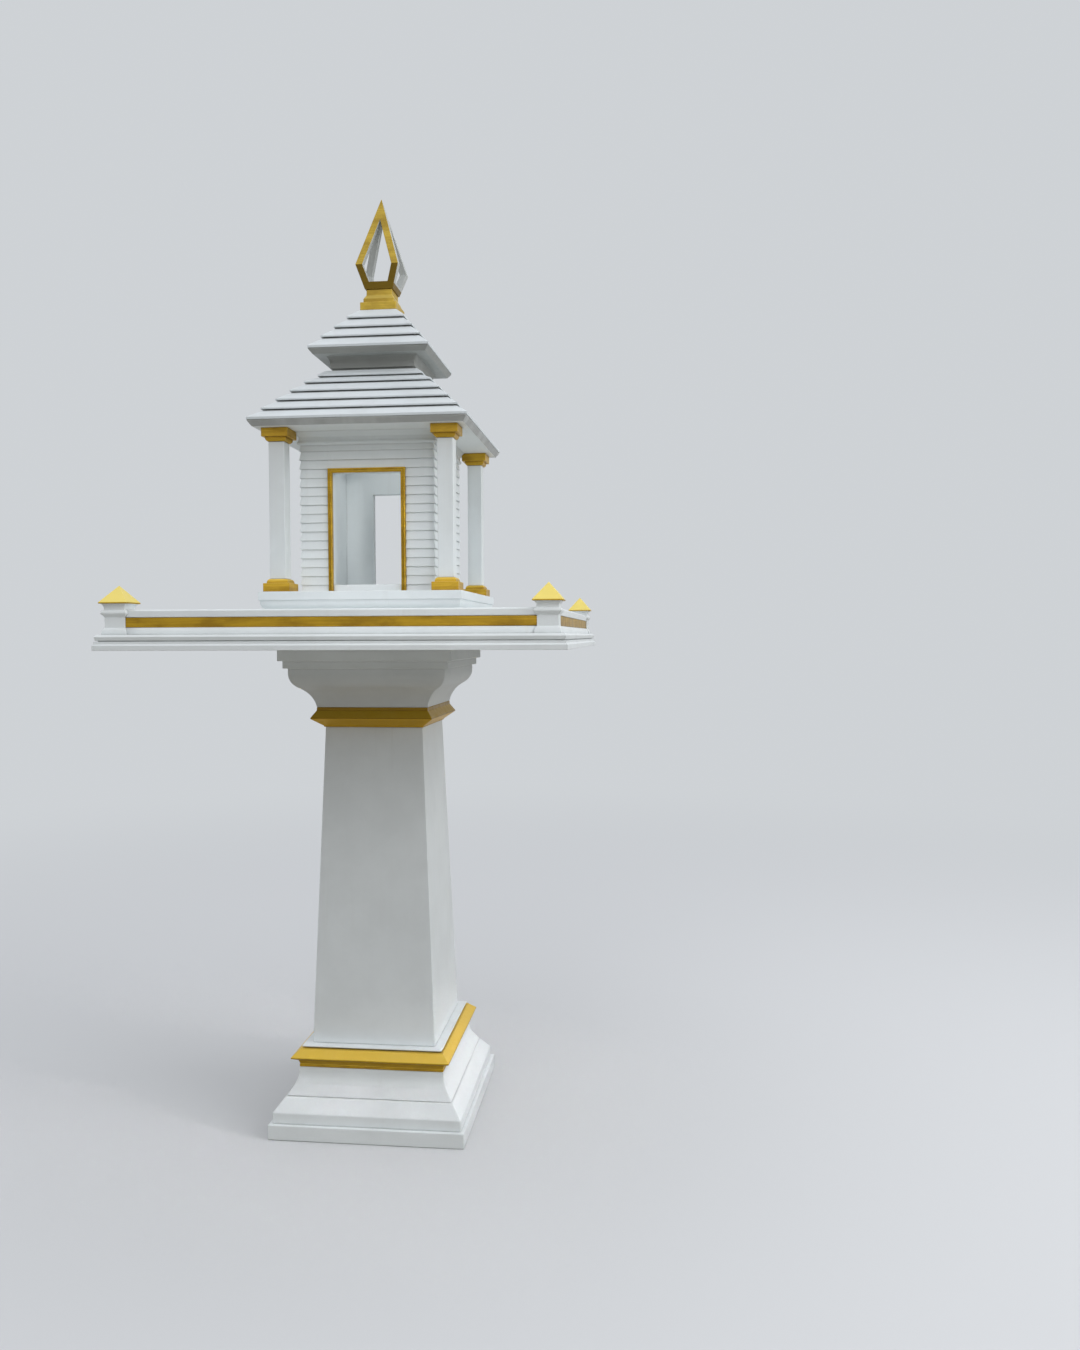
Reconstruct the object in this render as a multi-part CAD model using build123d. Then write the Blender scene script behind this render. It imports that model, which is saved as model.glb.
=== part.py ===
"""Spirit house: a small open shrine on a square pedestal, in white cement with gold trim.

Millimetres, +Z up, origin on the ground at the middle of the plan, front towards -Y.
Most pieces are square at every height, so each is one half profile carried round a square.
"""
import math
import os

from build123d import *

# Heights of the joints between pieces, from the ground up
SLAB_TOP = 43.0
BLOCK_TOP = 74.0
SKIRT_TOP = 110.0
COVE_TOP = 185.0
BASE_BAND_TOP = 237.0
LEDGE_TOP = 245.0
SHAFT_TOP = 1162.0
NECK_BAND_TOP = 1220.0
CAPITAL_TURN = 1277.0
CAPITAL_CURVE_TOP = 1318.0
CAPITAL_FIRST_STEP = 1334.0
CAPITAL_STEP = 1355.0
TERRACE_BOTTOM = 1390.0
TERRACE_STEP = 1411.0
TERRACE_TOP = 1430.0
STRIP_FOOT = 1448.0
STRIP_HEAD = 1474.0
PARAPET_TOP = 1493.0
POST_TOP = 1509.0
PLINTH_TOP = 1549.0
CORNICE_FOOT = 1965.0
EAVE_BOTTOM = 2002.0
EAVE_TOP = 2019.0
ROOF_CAP_FOOT = 2166.0
LOWER_ROOF_TOP = 2188.0
UPPER_EAVE_BOTTOM = 2229.0
UPPER_EAVE_TOP = 2244.5
UPPER_ROOF_TOP = 2382.0
FINIAL_BASE_TOP = 2446.0
BUD_SILL = 2466.0
BUD_WAIST = 2512.0
APEX = 2724.0

# Pedestal widths, across the square
SLAB_WIDTH = 564.0
BLOCK_WIDTH = 542.0
SKIRT_TOP_WIDTH = 484.0
COVE_FOOT_WIDTH = 478.0
COVE_SPRING_WIDTH = 444.0
COVE_TOP_WIDTH = 424.0
SKIRT_GROOVE = 2.0
COVE_SPLAY = 28.0
COVE_HOLLOW = 2.5
COVE_NECKING = 12.0
BASE_BAND_WIDTH = 462.0
BASE_BAND_HEAD_WIDTH = 418.0
BASE_BAND_LIP = 8.0
BASE_BAND_THROAT = 20.0
BASE_BAND_UNDERCUT = 29.0
LEDGE_WIDTH = 410.0
LEDGE_GROOVE_DEPTH = 8.0
LEDGE_GROOVE_HEIGHT = 4.0
SHAFT_FOOT_WIDTH = 360.0
SHAFT_HEAD_WIDTH = 287.0
NECK_BAND_WIDTH = 357.0
NECK_BAND_HEAD_WIDTH = 327.0
NECK_BAND_FOOT_LEDGE = 4.0
NECK_BAND_LIP = 3.0
NECK_BAND_UNDERCUT = 25.0
NECK_BAND_FILLET = 9.0
BAND_EDGE = 3.0
BAND_BREAK = 1.0
CAPITAL_TURN_WIDTH = 404.0
CAPITAL_HOLLOW = 8.0
CAPITAL_SWELL = 6.4
CAPITAL_CURVE_WIDTH = 452.0
CAPITAL_STEP_WIDTHS = (475.0, 498.0)

# Terrace, parapet and corner posts
TERRACE_WIDTH = 1200.0
DECK_WIDTH = 1188.0
DECK_NOSING = 4.0
DECK_GROOVE_DEPTH = 4.0
DECK_GROOVE_HEIGHT = 2.0
TERRACE_BEVEL = (2.0, 3.0)
POST_CENTRE = 550.0
POST_WIDTH = 54.0
POST_FOOT_WIDTH = 67.0
POST_RING_WIDTH = 68.0
POST_FOOT_LIP = 2.0
POST_FOOT_HEIGHT = 18.0
POST_RING_HEIGHT = 18.0
POST_RING_SPLAY = 8.0
POST_RING_HEAD = 3.0
POST_NECKING = 1.0
POST_NECKING_HEIGHT = 5.0
POST_SWELL = 2.0
POST_HOLLOW = 1.5
POST_CAP_WIDTH = 76.0
POST_CAP_EDGE = 3.0
POST_CAP_HEIGHT = 46.0
PARAPET_FACE = 574.0
PARAPET_THICKNESS = 40.0
STRIP_RECESS = 6.0
STRIP_THICKNESS = 4.0
PARAPET_BEVEL = 2.0

# House: plinth, columns, walls, door and rear opening
PLINTH_WIDTH = 574.0
PLINTH_FASCIA = 24.0
PLINTH_CURVE_WIDTH = 566.0
PLINTH_CURVE_HEIGHT = 22.0
PLINTH_CURVE_DEPTH = 19.0
PLINTH_SWELL = 6.0
PLINTH_FILLET = 5.0
PLINTH_WAIST_WIDTH = 526.0
COLUMN_WIDTH = 45.0
COLUMN_SPAN = 521.0
COLUMN_BLOCK_WIDTH = 76.0
COLUMN_BLOCK_HEIGHT = 24.0
COLUMN_END_HEIGHT = 36.0
COLUMN_COLLAR_FOOT = 7.5
COLUMN_COLLAR_HEAD = 2.0
COLUMN_COLLAR_SWELL = 2.0
WALL_WIDTH = 380.0
WALL_THICKNESS = 23.0
CORNICE_LEDGE = 4.0
CORNICE_BEAD_HEIGHT = 12.5
CORNICE_BEAD_SWELL = 5.0
CORNICE_FILLET = 6.0
CORNICE_FILLET_HEIGHT = 10.0
CORNICE_REACH = 18.0
DOOR_WIDTH = 198.0
DOOR_HEAD = 1886.0
FRAME_WIDTH = 13.0
FRAME_DEPTH = 11.0
FRAME_BEAD_INSET = 3.5
FRAME_BEAD = 3.0
REAR_WIDTH = 160.0
REAR_HEAD = 1873.0
FLOOR_TOP = 1571.0

# Roofs and finial
EAVE_WIDTH = 614.0
EAVE_SPLAY = 10.0
EAVE_LEDGE = 2.0
EAVE_FILLET = 3.0
LOWER_COURSES = 5
COURSE_RISE = 30.6
COURSE_STEP = 30.8
ROOF_CAP_WIDTH = 306.0
LOWER_ROOF_HEAD_WIDTH = 268.0
UPPER_EAVE_WIDTH = 351.0
UPPER_COURSES = 4
UPPER_COURSE_RISE = 34.7
UPPER_COURSE_STEP = 29.7
UPPER_ROOF_HEAD_WIDTH = 110.0
COURSE_LIP = 7.0
COURSE_LAP = 5.0
NECK_FOOT_WIDTH = 250.0
NECK_HEAD_WIDTH = 266.0
NECK_GROOVE_DEPTH = 6.0
NECK_GROOVE_HEIGHT = 8.0
NECK_UPRIGHT = 16.0
NECK_HOLLOW = 2.0
FINIAL_BLOCK_WIDTH = 108.0
FINIAL_BLOCK_HEIGHT = 23.0
FINIAL_TIER_WIDTH = 92.0
FINIAL_TIER_HEIGHT = 12.0
FINIAL_COLLAR_HEIGHT = 12.5
FINIAL_HEAD_WIDTH = 77.0
BUD_FOOT_WIDTH = 84.0
BUD_WAIST_WIDTH = 128.0
BUD_BAR = 21.0

CORNERS = {"front_left": (-1, -1), "front_right": (1, -1), "back_right": (1, 1), "back_left": (-1, 1)}
SIDES = {"front": 0.0, "right": 90.0, "back": 180.0, "left": 270.0}


def run(*points):
    """Straight edges of a half profile, through (half width, height) points."""
    return [Line((x0, 0, z0), (x1, 0, z1)) for (x0, z0), (x1, z1) in zip(points, points[1:])]


def bow(start, end, rise):
    """One arc of a half profile, which stands rise out from its chord, or in where it is below 0."""
    run_x, run_z = end[0] - start[0], end[1] - start[1]
    chord = math.hypot(run_x, run_z)
    crown = (
        (start[0] + end[0]) / 2 + rise * run_z / chord,
        (start[1] + end[1]) / 2 - rise * run_x / chord,
    )
    return [ThreePointArc(*[(x, 0, z) for x, z in (start, crown, end)])]


def square_moulding(edges):
    """A solid that is square at every height, from the edges of its half profile.

    The edges run up from foot to head. With their mirror image they close an outline, and two
    bars of that outline, crossed at right angles, share just the mitred square moulding.
    """
    foot, head = edges[0] @ 0, edges[-1] @ 1
    outline = edges + [mirror(edge, about=Plane.YZ) for edge in edges]
    outline.append(Line((-foot.X, 0, foot.Z), (foot.X, 0, foot.Z)))
    if head.X > 0:
        outline.append(Line((-head.X, 0, head.Z), (head.X, 0, head.Z)))
    reach = max(edge.bounding_box().max.X for edge in edges)
    bar = extrude(make_face(outline), amount=reach, dir=(0, 1, 0), both=True)
    return bar & bar.rotate(Axis.Z, 90)


def cuboid(x, y, z):
    """A box between its lower and upper limits along X, Y and Z."""
    corner = Pos(x[0], y[0], z[0])
    return corner * Box(x[1] - x[0], y[1] - y[0], z[1] - z[0], align=(Align.MIN, Align.MIN, Align.MIN))


def slab(width, foot, head):
    """A plain square slab on the axis."""
    return cuboid((-width / 2, width / 2), (-width / 2, width / 2), (foot, head))


def at_corners(solid, centre):
    """Four copies of a solid, unturned, on the corners of a square."""
    return [Pos(sx * centre, sy * centre, 0) * solid for sx, sy in CORNERS.values()]


def pedestal():
    """The pedestal's pieces, from the slab on the ground up to the capital."""
    block, skirt_head, ledge = BLOCK_WIDTH / 2, SKIRT_TOP_WIDTH / 2, LEDGE_WIDTH / 2
    return {
        "base_slab": slab(SLAB_WIDTH, 0, SLAB_TOP),
        "base_skirt": square_moulding(run((block, SLAB_TOP), (block, BLOCK_TOP), (skirt_head, SKIRT_TOP))),
        "base_cove": square_moulding(cove_profile()),
        "base_gold_band": square_moulding(base_band_profile()),
        "base_ledge": square_moulding(run(
            (ledge - LEDGE_GROOVE_DEPTH, BASE_BAND_TOP),
            (ledge - LEDGE_GROOVE_DEPTH, BASE_BAND_TOP + LEDGE_GROOVE_HEIGHT),
            (ledge, BASE_BAND_TOP + LEDGE_GROOVE_HEIGHT),
            (ledge, LEDGE_TOP),
        )),
        "pedestal_shaft": square_moulding(
            run((SHAFT_FOOT_WIDTH / 2, LEDGE_TOP), (SHAFT_HEAD_WIDTH / 2, SHAFT_TOP))),
        "neck_gold_band": square_moulding(neck_band_profile()),
        "pedestal_capital": square_moulding(capital_profile()),
    }


def cove_profile():
    """The cove over the skirt: a fine groove, a splay, a hollow and an upright necking."""
    foot, spring, head = COVE_FOOT_WIDTH / 2, COVE_SPRING_WIDTH / 2, COVE_TOP_WIDTH / 2
    groove_top, splay_top = SKIRT_TOP + SKIRT_GROOVE, SKIRT_TOP + COVE_SPLAY
    return (
        run(
            (foot - SKIRT_GROOVE, SKIRT_TOP),
            (foot - SKIRT_GROOVE, groove_top),
            (foot, groove_top),
            (spring, splay_top),
        )
        + bow((spring, splay_top), (head, COVE_TOP - COVE_NECKING), -COVE_HOLLOW)
        + run((head, COVE_TOP - COVE_NECKING), (head, COVE_TOP))
    )


def base_band_profile():
    """The lower gold band: a lip, a leaning face, an undercut out to a thin edge, a long slope."""
    lip, edge, head = COVE_TOP_WIDTH / 2 - BAND_BREAK, BASE_BAND_WIDTH / 2, BASE_BAND_HEAD_WIDTH / 2
    lip_top, underside = COVE_TOP + BASE_BAND_LIP, COVE_TOP + BASE_BAND_UNDERCUT
    return run(
        (lip, COVE_TOP),
        (lip, lip_top),
        (lip - BAND_BREAK, lip_top + BAND_BREAK),
        (lip + BAND_EDGE, COVE_TOP + BASE_BAND_THROAT),
        (edge, underside),
        (edge, underside + BAND_EDGE),
        (head, BASE_BAND_TOP - BAND_BREAK),
        (head, BASE_BAND_TOP),
    )


def neck_band_profile():
    """The upper gold band: pointed, with an undercut from the shaft and a fillet on top."""
    foot = SHAFT_HEAD_WIDTH / 2 + NECK_BAND_FOOT_LEDGE
    edge, head = NECK_BAND_WIDTH / 2, NECK_BAND_HEAD_WIDTH / 2
    underside = SHAFT_TOP + NECK_BAND_UNDERCUT
    return run(
        (foot, SHAFT_TOP),
        (foot, SHAFT_TOP + NECK_BAND_LIP),
        (edge, underside),
        (edge, underside + BAND_EDGE),
        (head, NECK_BAND_TOP - NECK_BAND_FILLET),
        (head, NECK_BAND_TOP),
    )


def capital_profile():
    """The capital's half profile: hollow below, full above, then two square steps."""
    foot, turn, head = NECK_BAND_HEAD_WIDTH / 2, CAPITAL_TURN_WIDTH / 2, CAPITAL_CURVE_WIDTH / 2
    lower_step, upper_step = (width / 2 for width in CAPITAL_STEP_WIDTHS)
    return (
        bow((foot, NECK_BAND_TOP), (turn, CAPITAL_TURN), -CAPITAL_HOLLOW)
        + bow((turn, CAPITAL_TURN), (head, CAPITAL_CURVE_TOP), CAPITAL_SWELL)
        + run(
            (head, CAPITAL_CURVE_TOP),
            (head, CAPITAL_FIRST_STEP),
            (lower_step, CAPITAL_FIRST_STEP),
            (lower_step, CAPITAL_STEP),
            (upper_step, CAPITAL_STEP),
            (upper_step, TERRACE_BOTTOM),
        )
    )


def terrace():
    """The terrace slab, and the deck on it with a rounded nosing over a shadow groove."""
    slab_edge, deck_edge = TERRACE_WIDTH / 2, DECK_WIDTH / 2
    groove, deck_foot = deck_edge - DECK_GROOVE_DEPTH, TERRACE_STEP + DECK_GROOVE_HEIGHT
    bevel_depth, bevel_height = TERRACE_BEVEL
    deck = run((groove, TERRACE_STEP), (groove, deck_foot), (deck_edge, deck_foot))
    deck += bow((deck_edge, deck_foot), (deck_edge, TERRACE_TOP), DECK_NOSING)
    return {
        "terrace_slab": square_moulding(run(
            (slab_edge, TERRACE_BOTTOM),
            (slab_edge, TERRACE_STEP - bevel_height),
            (slab_edge - bevel_depth, TERRACE_STEP),
        )),
        "terrace_deck": square_moulding(deck),
    }


def corner_post():
    """A corner post on the axis: round foot, plain shaft, ring and hollow neck under the cap."""
    half, foot, ring = POST_WIDTH / 2, POST_FOOT_WIDTH / 2, POST_RING_WIDTH / 2
    ring_head, necking = half + POST_RING_HEAD, half + POST_NECKING
    foot_lip, foot_top = TERRACE_TOP + POST_FOOT_LIP, TERRACE_TOP + POST_FOOT_HEIGHT
    ring_top = PARAPET_TOP - BAND_BREAK
    ring_foot = PARAPET_TOP - POST_RING_HEIGHT
    ring_turn, necking_top = ring_foot + POST_RING_SPLAY, ring_top + POST_NECKING_HEIGHT
    return square_moulding(
        run((foot, TERRACE_TOP), (foot, foot_lip))
        + bow((foot, foot_lip), (half, foot_top), POST_SWELL)
        + run((half, foot_top), (half, ring_foot), (ring, ring_turn))
        + bow((ring, ring_turn), (ring_head, ring_top), POST_SWELL)
        + run((ring_head, ring_top), (necking, ring_top), (necking, necking_top))
        + bow((necking, necking_top), (ring, POST_TOP), -POST_HOLLOW)
    )


def post_cap():
    """The gold pyramid that overhangs a corner post."""
    half = POST_CAP_WIDTH / 2
    return square_moulding(run(
        (half, POST_TOP),
        (half, POST_TOP + POST_CAP_EDGE),
        (0, POST_TOP + POST_CAP_HEIGHT),
    ))


def parapet():
    """One parapet run for each side, cut to the posts, and the gold strips set in them."""
    reach = POST_CENTRE - POST_WIDTH / 2
    back = PARAPET_FACE - PARAPET_THICKNESS
    posts = at_corners(corner_post(), POST_CENTRE)
    rails = cuboid((-reach, reach), (-PARAPET_FACE, -back), (TERRACE_TOP, PARAPET_TOP))
    rails = chamfer(rails.edges().filter_by(Axis.X).group_by(Axis.Z)[-1], PARAPET_BEVEL)
    recess = PARAPET_FACE - STRIP_RECESS
    rails -= cuboid((-reach, reach), (-PARAPET_FACE, -recess), (STRIP_FOOT, STRIP_HEAD))
    strip = cuboid((-reach, reach), (-recess - STRIP_THICKNESS, -recess), (STRIP_FOOT, STRIP_HEAD))
    pieces = {}
    for side, angle in SIDES.items():
        pieces[f"parapet_{side}"] = rails.rotate(Axis.Z, angle) - posts
    strips = [strip.rotate(Axis.Z, angle) for angle in SIDES.values()]
    pieces["parapet_gold_strips"] = Compound(children=strips)
    for name, post in zip(CORNERS, posts):
        pieces[f"corner_post_{name}"] = post
    pieces["corner_post_caps"] = Compound(children=at_corners(post_cap(), POST_CENTRE))
    return pieces


def house_plinth():
    """The plinth under the house: a plain waist, a quarter round, a step and a fascia."""
    waist, curve, half = PLINTH_WAIST_WIDTH / 2, PLINTH_CURVE_WIDTH / 2, PLINTH_WIDTH / 2
    spring = curve - PLINTH_CURVE_DEPTH
    fascia_foot = PLINTH_TOP - PLINTH_FASCIA
    curve_top = fascia_foot - PLINTH_FILLET
    curve_foot = curve_top - PLINTH_CURVE_HEIGHT
    return square_moulding(
        run((waist, TERRACE_TOP), (waist, curve_foot), (spring, curve_foot))
        + bow((spring, curve_foot), (curve, curve_top), PLINTH_SWELL)
        + run((curve, curve_top), (curve, fascia_foot), (half, fascia_foot), (half, PLINTH_TOP))
    )


def column_base():
    """A column's gold base, on the axis and standing on zero: a block with a round-topped collar."""
    half, block = COLUMN_WIDTH / 2, COLUMN_BLOCK_WIDTH / 2
    collar_foot, collar_head = half + COLUMN_COLLAR_FOOT, half + COLUMN_COLLAR_HEAD
    return square_moulding(
        run((block, 0), (block, COLUMN_BLOCK_HEIGHT), (collar_foot, COLUMN_BLOCK_HEIGHT))
        + bow(
            (collar_foot, COLUMN_BLOCK_HEIGHT),
            (collar_head, COLUMN_END_HEIGHT),
            COLUMN_COLLAR_SWELL,
        )
    )


def columns():
    """Four square columns, between gold bases and capitals that are one casting, turned over."""
    centre = (COLUMN_SPAN - COLUMN_WIDTH) / 2
    shaft = slab(COLUMN_WIDTH, PLINTH_TOP + COLUMN_END_HEIGHT, EAVE_BOTTOM - COLUMN_END_HEIGHT)
    base = Pos(0, 0, PLINTH_TOP) * column_base()
    capital = Pos(0, 0, EAVE_BOTTOM) * column_base().rotate(Axis.X, 180)
    pieces = {f"column_{name}": copy for name, copy in zip(CORNERS, at_corners(shaft, centre))}
    pieces["column_bases"] = Compound(children=at_corners(base, centre))
    pieces["column_capitals"] = Compound(children=at_corners(capital, centre))
    return pieces


def walls():
    """The hollow cella: front and back walls between full side walls, split at the openings.

    The floor slab fills the plan inside the walls and runs out through both openings as a sill.
    """
    outer = WALL_WIDTH / 2
    inner = outer - WALL_THICKNESS
    door, rear = DOOR_WIDTH / 2, REAR_WIDTH / 2
    front, back, height = (-outer, -inner), (inner, outer), (PLINTH_TOP, EAVE_BOTTOM)
    floor = slab(2 * inner, PLINTH_TOP, FLOOR_TOP)
    floor += cuboid((-door, door), front, (PLINTH_TOP, FLOOR_TOP))
    floor += cuboid((-rear, rear), back, (PLINTH_TOP, FLOOR_TOP))
    return {
        "front_wall_left": cuboid((-inner, -door), front, height),
        "front_wall_right": cuboid((door, inner), front, height),
        "front_wall_head": cuboid((-door, door), front, (DOOR_HEAD, EAVE_BOTTOM)),
        "left_wall": cuboid((-outer, -inner), (-outer, outer), height),
        "right_wall": cuboid((inner, outer), (-outer, outer), height),
        "back_wall_left": cuboid((-inner, -rear), back, height),
        "back_wall_right": cuboid((rear, inner), back, height),
        "back_wall_head": cuboid((-rear, rear), back, (REAR_HEAD, EAVE_BOTTOM)),
        "cella_floor": floor,
    }


def wall_cornice():
    """The moulding round the top of the walls, bead to splay, cut back for the column capitals."""
    half, foot = WALL_WIDTH / 2, CORNICE_FOOT
    fillet, bead_top = half + CORNICE_FILLET, foot + CORNICE_BEAD_HEIGHT
    moulding = square_moulding(
        bow((half + CORNICE_LEDGE, foot), (fillet, bead_top), CORNICE_BEAD_SWELL)
        + run(
            (fillet, bead_top),
            (fillet, bead_top + CORNICE_FILLET_HEIGHT),
            (half + CORNICE_REACH, EAVE_BOTTOM),
        )
    )
    centre = (COLUMN_SPAN - COLUMN_WIDTH) / 2
    seats = at_corners(slab(COLUMN_BLOCK_WIDTH, EAVE_BOTTOM - COLUMN_END_HEIGHT, EAVE_BOTTOM), centre)
    return moulding - slab(WALL_WIDTH, foot, EAVE_BOTTOM) - seats


def door_frame():
    """The gold frame on the front wall, round the door's head and two sides, with a raised bead."""
    face = WALL_WIDTH / 2

    def portal(inset, depth_from, depth_to):
        width = DOOR_WIDTH / 2 + FRAME_WIDTH - inset
        hole = DOOR_WIDTH / 2 + inset
        depth = (-face - depth_to, -face - depth_from)
        solid = cuboid((-width, width), depth, (PLINTH_TOP, DOOR_HEAD + FRAME_WIDTH - inset))
        return solid - cuboid((-hole, hole), depth, (PLINTH_TOP, DOOR_HEAD + inset))

    return portal(0, 0, FRAME_DEPTH) + portal(FRAME_BEAD_INSET, FRAME_DEPTH, FRAME_DEPTH + FRAME_BEAD)


def eave_slab(width, foot, head):
    """A square slab with a splayed underside, a little inside the lip of the roof on it."""
    edge = width / 2 - EAVE_LEDGE
    return square_moulding(run((edge - EAVE_SPLAY, foot), (edge, head - EAVE_FILLET), (edge, head)))


def course_lips(width, foot, step, rise, courses):
    """Where the foot of each course's lip stands, as (half width, height)."""
    return [(width / 2 - step * course, foot + rise * course) for course in range(courses)]


def roof(lips, head):
    """A hipped roof of lapped courses: each has an upright lip that overhangs the one below."""
    points = []
    for half, foot in lips:
        if points:
            points.append((half - COURSE_LAP, foot))
        points += [(half, foot), (half, foot + COURSE_LIP)]
    return square_moulding(run(*points, head))


def neck():
    """The moulded neck between the roofs: a groove, an upright and a hollow up to the eave."""
    foot, head = NECK_FOOT_WIDTH / 2, NECK_HEAD_WIDTH / 2
    groove, groove_top = foot - NECK_GROOVE_DEPTH, LOWER_ROOF_TOP + NECK_GROOVE_HEIGHT
    upright_top = groove_top + NECK_UPRIGHT
    return square_moulding(
        run((groove, LOWER_ROOF_TOP), (groove, groove_top), (foot, groove_top), (foot, upright_top))
        + bow((foot, upright_top), (head, UPPER_EAVE_BOTTOM), -NECK_HOLLOW)
    )


def roofs():
    """Both roofs with their eave slabs, and the neck between them."""
    lower = course_lips(EAVE_WIDTH, EAVE_TOP, COURSE_STEP, COURSE_RISE, LOWER_COURSES)
    lower.append((ROOF_CAP_WIDTH / 2, ROOF_CAP_FOOT))
    upper = course_lips(
        UPPER_EAVE_WIDTH, UPPER_EAVE_TOP, UPPER_COURSE_STEP, UPPER_COURSE_RISE, UPPER_COURSES)
    return {
        "lower_eave_slab": eave_slab(EAVE_WIDTH, EAVE_BOTTOM, EAVE_TOP),
        "lower_roof": roof(lower, (LOWER_ROOF_HEAD_WIDTH / 2, LOWER_ROOF_TOP)),
        "roof_neck": neck(),
        "upper_eave_slab": eave_slab(UPPER_EAVE_WIDTH, UPPER_EAVE_BOTTOM, UPPER_EAVE_TOP),
        "upper_roof": roof(upper, (UPPER_ROOF_HEAD_WIDTH / 2, UPPER_ROOF_TOP)),
    }


def finial():
    """The gold stepped base, and the open bud of four bars that meet at the apex."""
    block, tier, head = FINIAL_BLOCK_WIDTH / 2, FINIAL_TIER_WIDTH / 2, FINIAL_HEAD_WIDTH / 2
    block_top = UPPER_ROOF_TOP + FINIAL_BLOCK_HEIGHT
    tier_top = block_top + FINIAL_TIER_HEIGHT
    base = square_moulding(run(
        (block, UPPER_ROOF_TOP),
        (block, block_top),
        (tier, block_top),
        (tier, tier_top),
        (head, tier_top + FINIAL_COLLAR_HEIGHT),
        (head, FINIAL_BASE_TOP),
    ))
    bud_foot, waist = BUD_FOOT_WIDTH / 2, BUD_WAIST_WIDTH / 2
    bud = square_moulding(run((bud_foot, FINIAL_BASE_TOP), (waist, BUD_WAIST), (0, APEX)))
    sill_half = bud_foot + (waist - bud_foot) * (BUD_SILL - FINIAL_BASE_TOP) / (BUD_WAIST - FINIAL_BASE_TOP)
    head_height = APEX - (APEX - BUD_WAIST) * BUD_BAR / waist
    kite = make_face(Polyline(
        (BUD_BAR - sill_half, 0, BUD_SILL),
        (sill_half - BUD_BAR, 0, BUD_SILL),
        (waist - BUD_BAR, 0, BUD_WAIST),
        (0, 0, head_height),
        (BUD_BAR - waist, 0, BUD_WAIST),
        close=True,
    ))
    window = extrude(kite, amount=waist, dir=(0, 1, 0), both=True)
    return {"finial_base": base, "finial_bud": bud - window - window.rotate(Axis.Z, 90)}


def spirit_house():
    """Every piece of the spirit house, by name."""
    return {
        **pedestal(),
        **terrace(),
        **parapet(),
        "house_plinth": house_plinth(),
        **columns(),
        **walls(),
        "wall_cornice": wall_cornice(),
        "door_frame": door_frame(),
        **roofs(),
        **finial(),
    }


os.makedirs("parts", exist_ok=True)
for name, piece in spirit_house().items():
    export_step(piece, f"parts/{name}.step")
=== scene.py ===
"""The spirit house with its finishes: hand-cast white cement, lapped boards and gold paint.

Metres, in the model's own frame: +Z up from the ground, the doorway towards -Y. Most cast pieces
are made again from their own node's half profile, the terrace's slab and deck from its box, and
the bud from its solid. The parapet, its strips, the cornice and the door frame are made from sizes
given here. All get the small round that a mould leaves on every edge. The boards on the walls, the
ridges on the door frame, the gaps under the roofs' lips and the fine edges of the terrace are
added here.
"""
import logging
from abc import ABC, abstractmethod
from dataclasses import dataclass, field, replace
from enum import Enum
from typing import Callable, Self, Sequence

import bmesh
import bpy
import numpy as np
from mathutils import Matrix, Vector


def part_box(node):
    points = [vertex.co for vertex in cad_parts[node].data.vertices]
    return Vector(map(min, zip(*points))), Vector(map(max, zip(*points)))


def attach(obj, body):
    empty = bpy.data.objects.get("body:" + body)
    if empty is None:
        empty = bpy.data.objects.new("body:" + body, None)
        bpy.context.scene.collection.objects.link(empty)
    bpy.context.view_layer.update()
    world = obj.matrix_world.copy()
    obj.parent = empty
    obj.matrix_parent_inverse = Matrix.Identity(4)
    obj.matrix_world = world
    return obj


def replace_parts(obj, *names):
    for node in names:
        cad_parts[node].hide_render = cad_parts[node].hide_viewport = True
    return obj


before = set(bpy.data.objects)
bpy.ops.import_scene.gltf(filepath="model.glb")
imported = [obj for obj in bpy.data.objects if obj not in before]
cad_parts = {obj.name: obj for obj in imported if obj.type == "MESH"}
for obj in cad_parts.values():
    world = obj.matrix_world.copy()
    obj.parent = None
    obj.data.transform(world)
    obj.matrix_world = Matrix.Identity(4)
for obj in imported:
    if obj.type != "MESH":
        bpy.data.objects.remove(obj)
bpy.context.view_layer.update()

log = logging.getLogger("spirit_house")

Span = tuple[float, float]
Plan = tuple[float, float]
Place = tuple[float, float, float]
Colour = tuple[float, float, float]
Socket = bpy.types.NodeSocket
Sockets = dict[str, Socket]

CORNERS: dict[str, Plan] = {
    "front_left": (-1, -1),
    "front_right": (1, -1),
    "back_right": (1, 1),
    "back_left": (-1, 1),
}
SIDES: dict[str, int] = {"front": 0, "right": 1, "back": 2, "left": 3}
QUARTER_TURN = np.array([[0.0, -1.0], [1.0, 0.0]])
# Vertices nearer than this are one. Turns are rounded above one angle and straight below the other.
WELD = 1e-5
SHARP_TURN = np.radians(25)
GENTLE_TURN = np.radians(1)
# An arc's runs are shorter than this, and a round takes at most this share of an edge.
SHORT_RUN = 0.015
LARGEST_CUT = 0.45
# Each node of a group draws its unevenness from seeds this far from the last node's.
SEED_STEP = 10


# Shader effects


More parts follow.
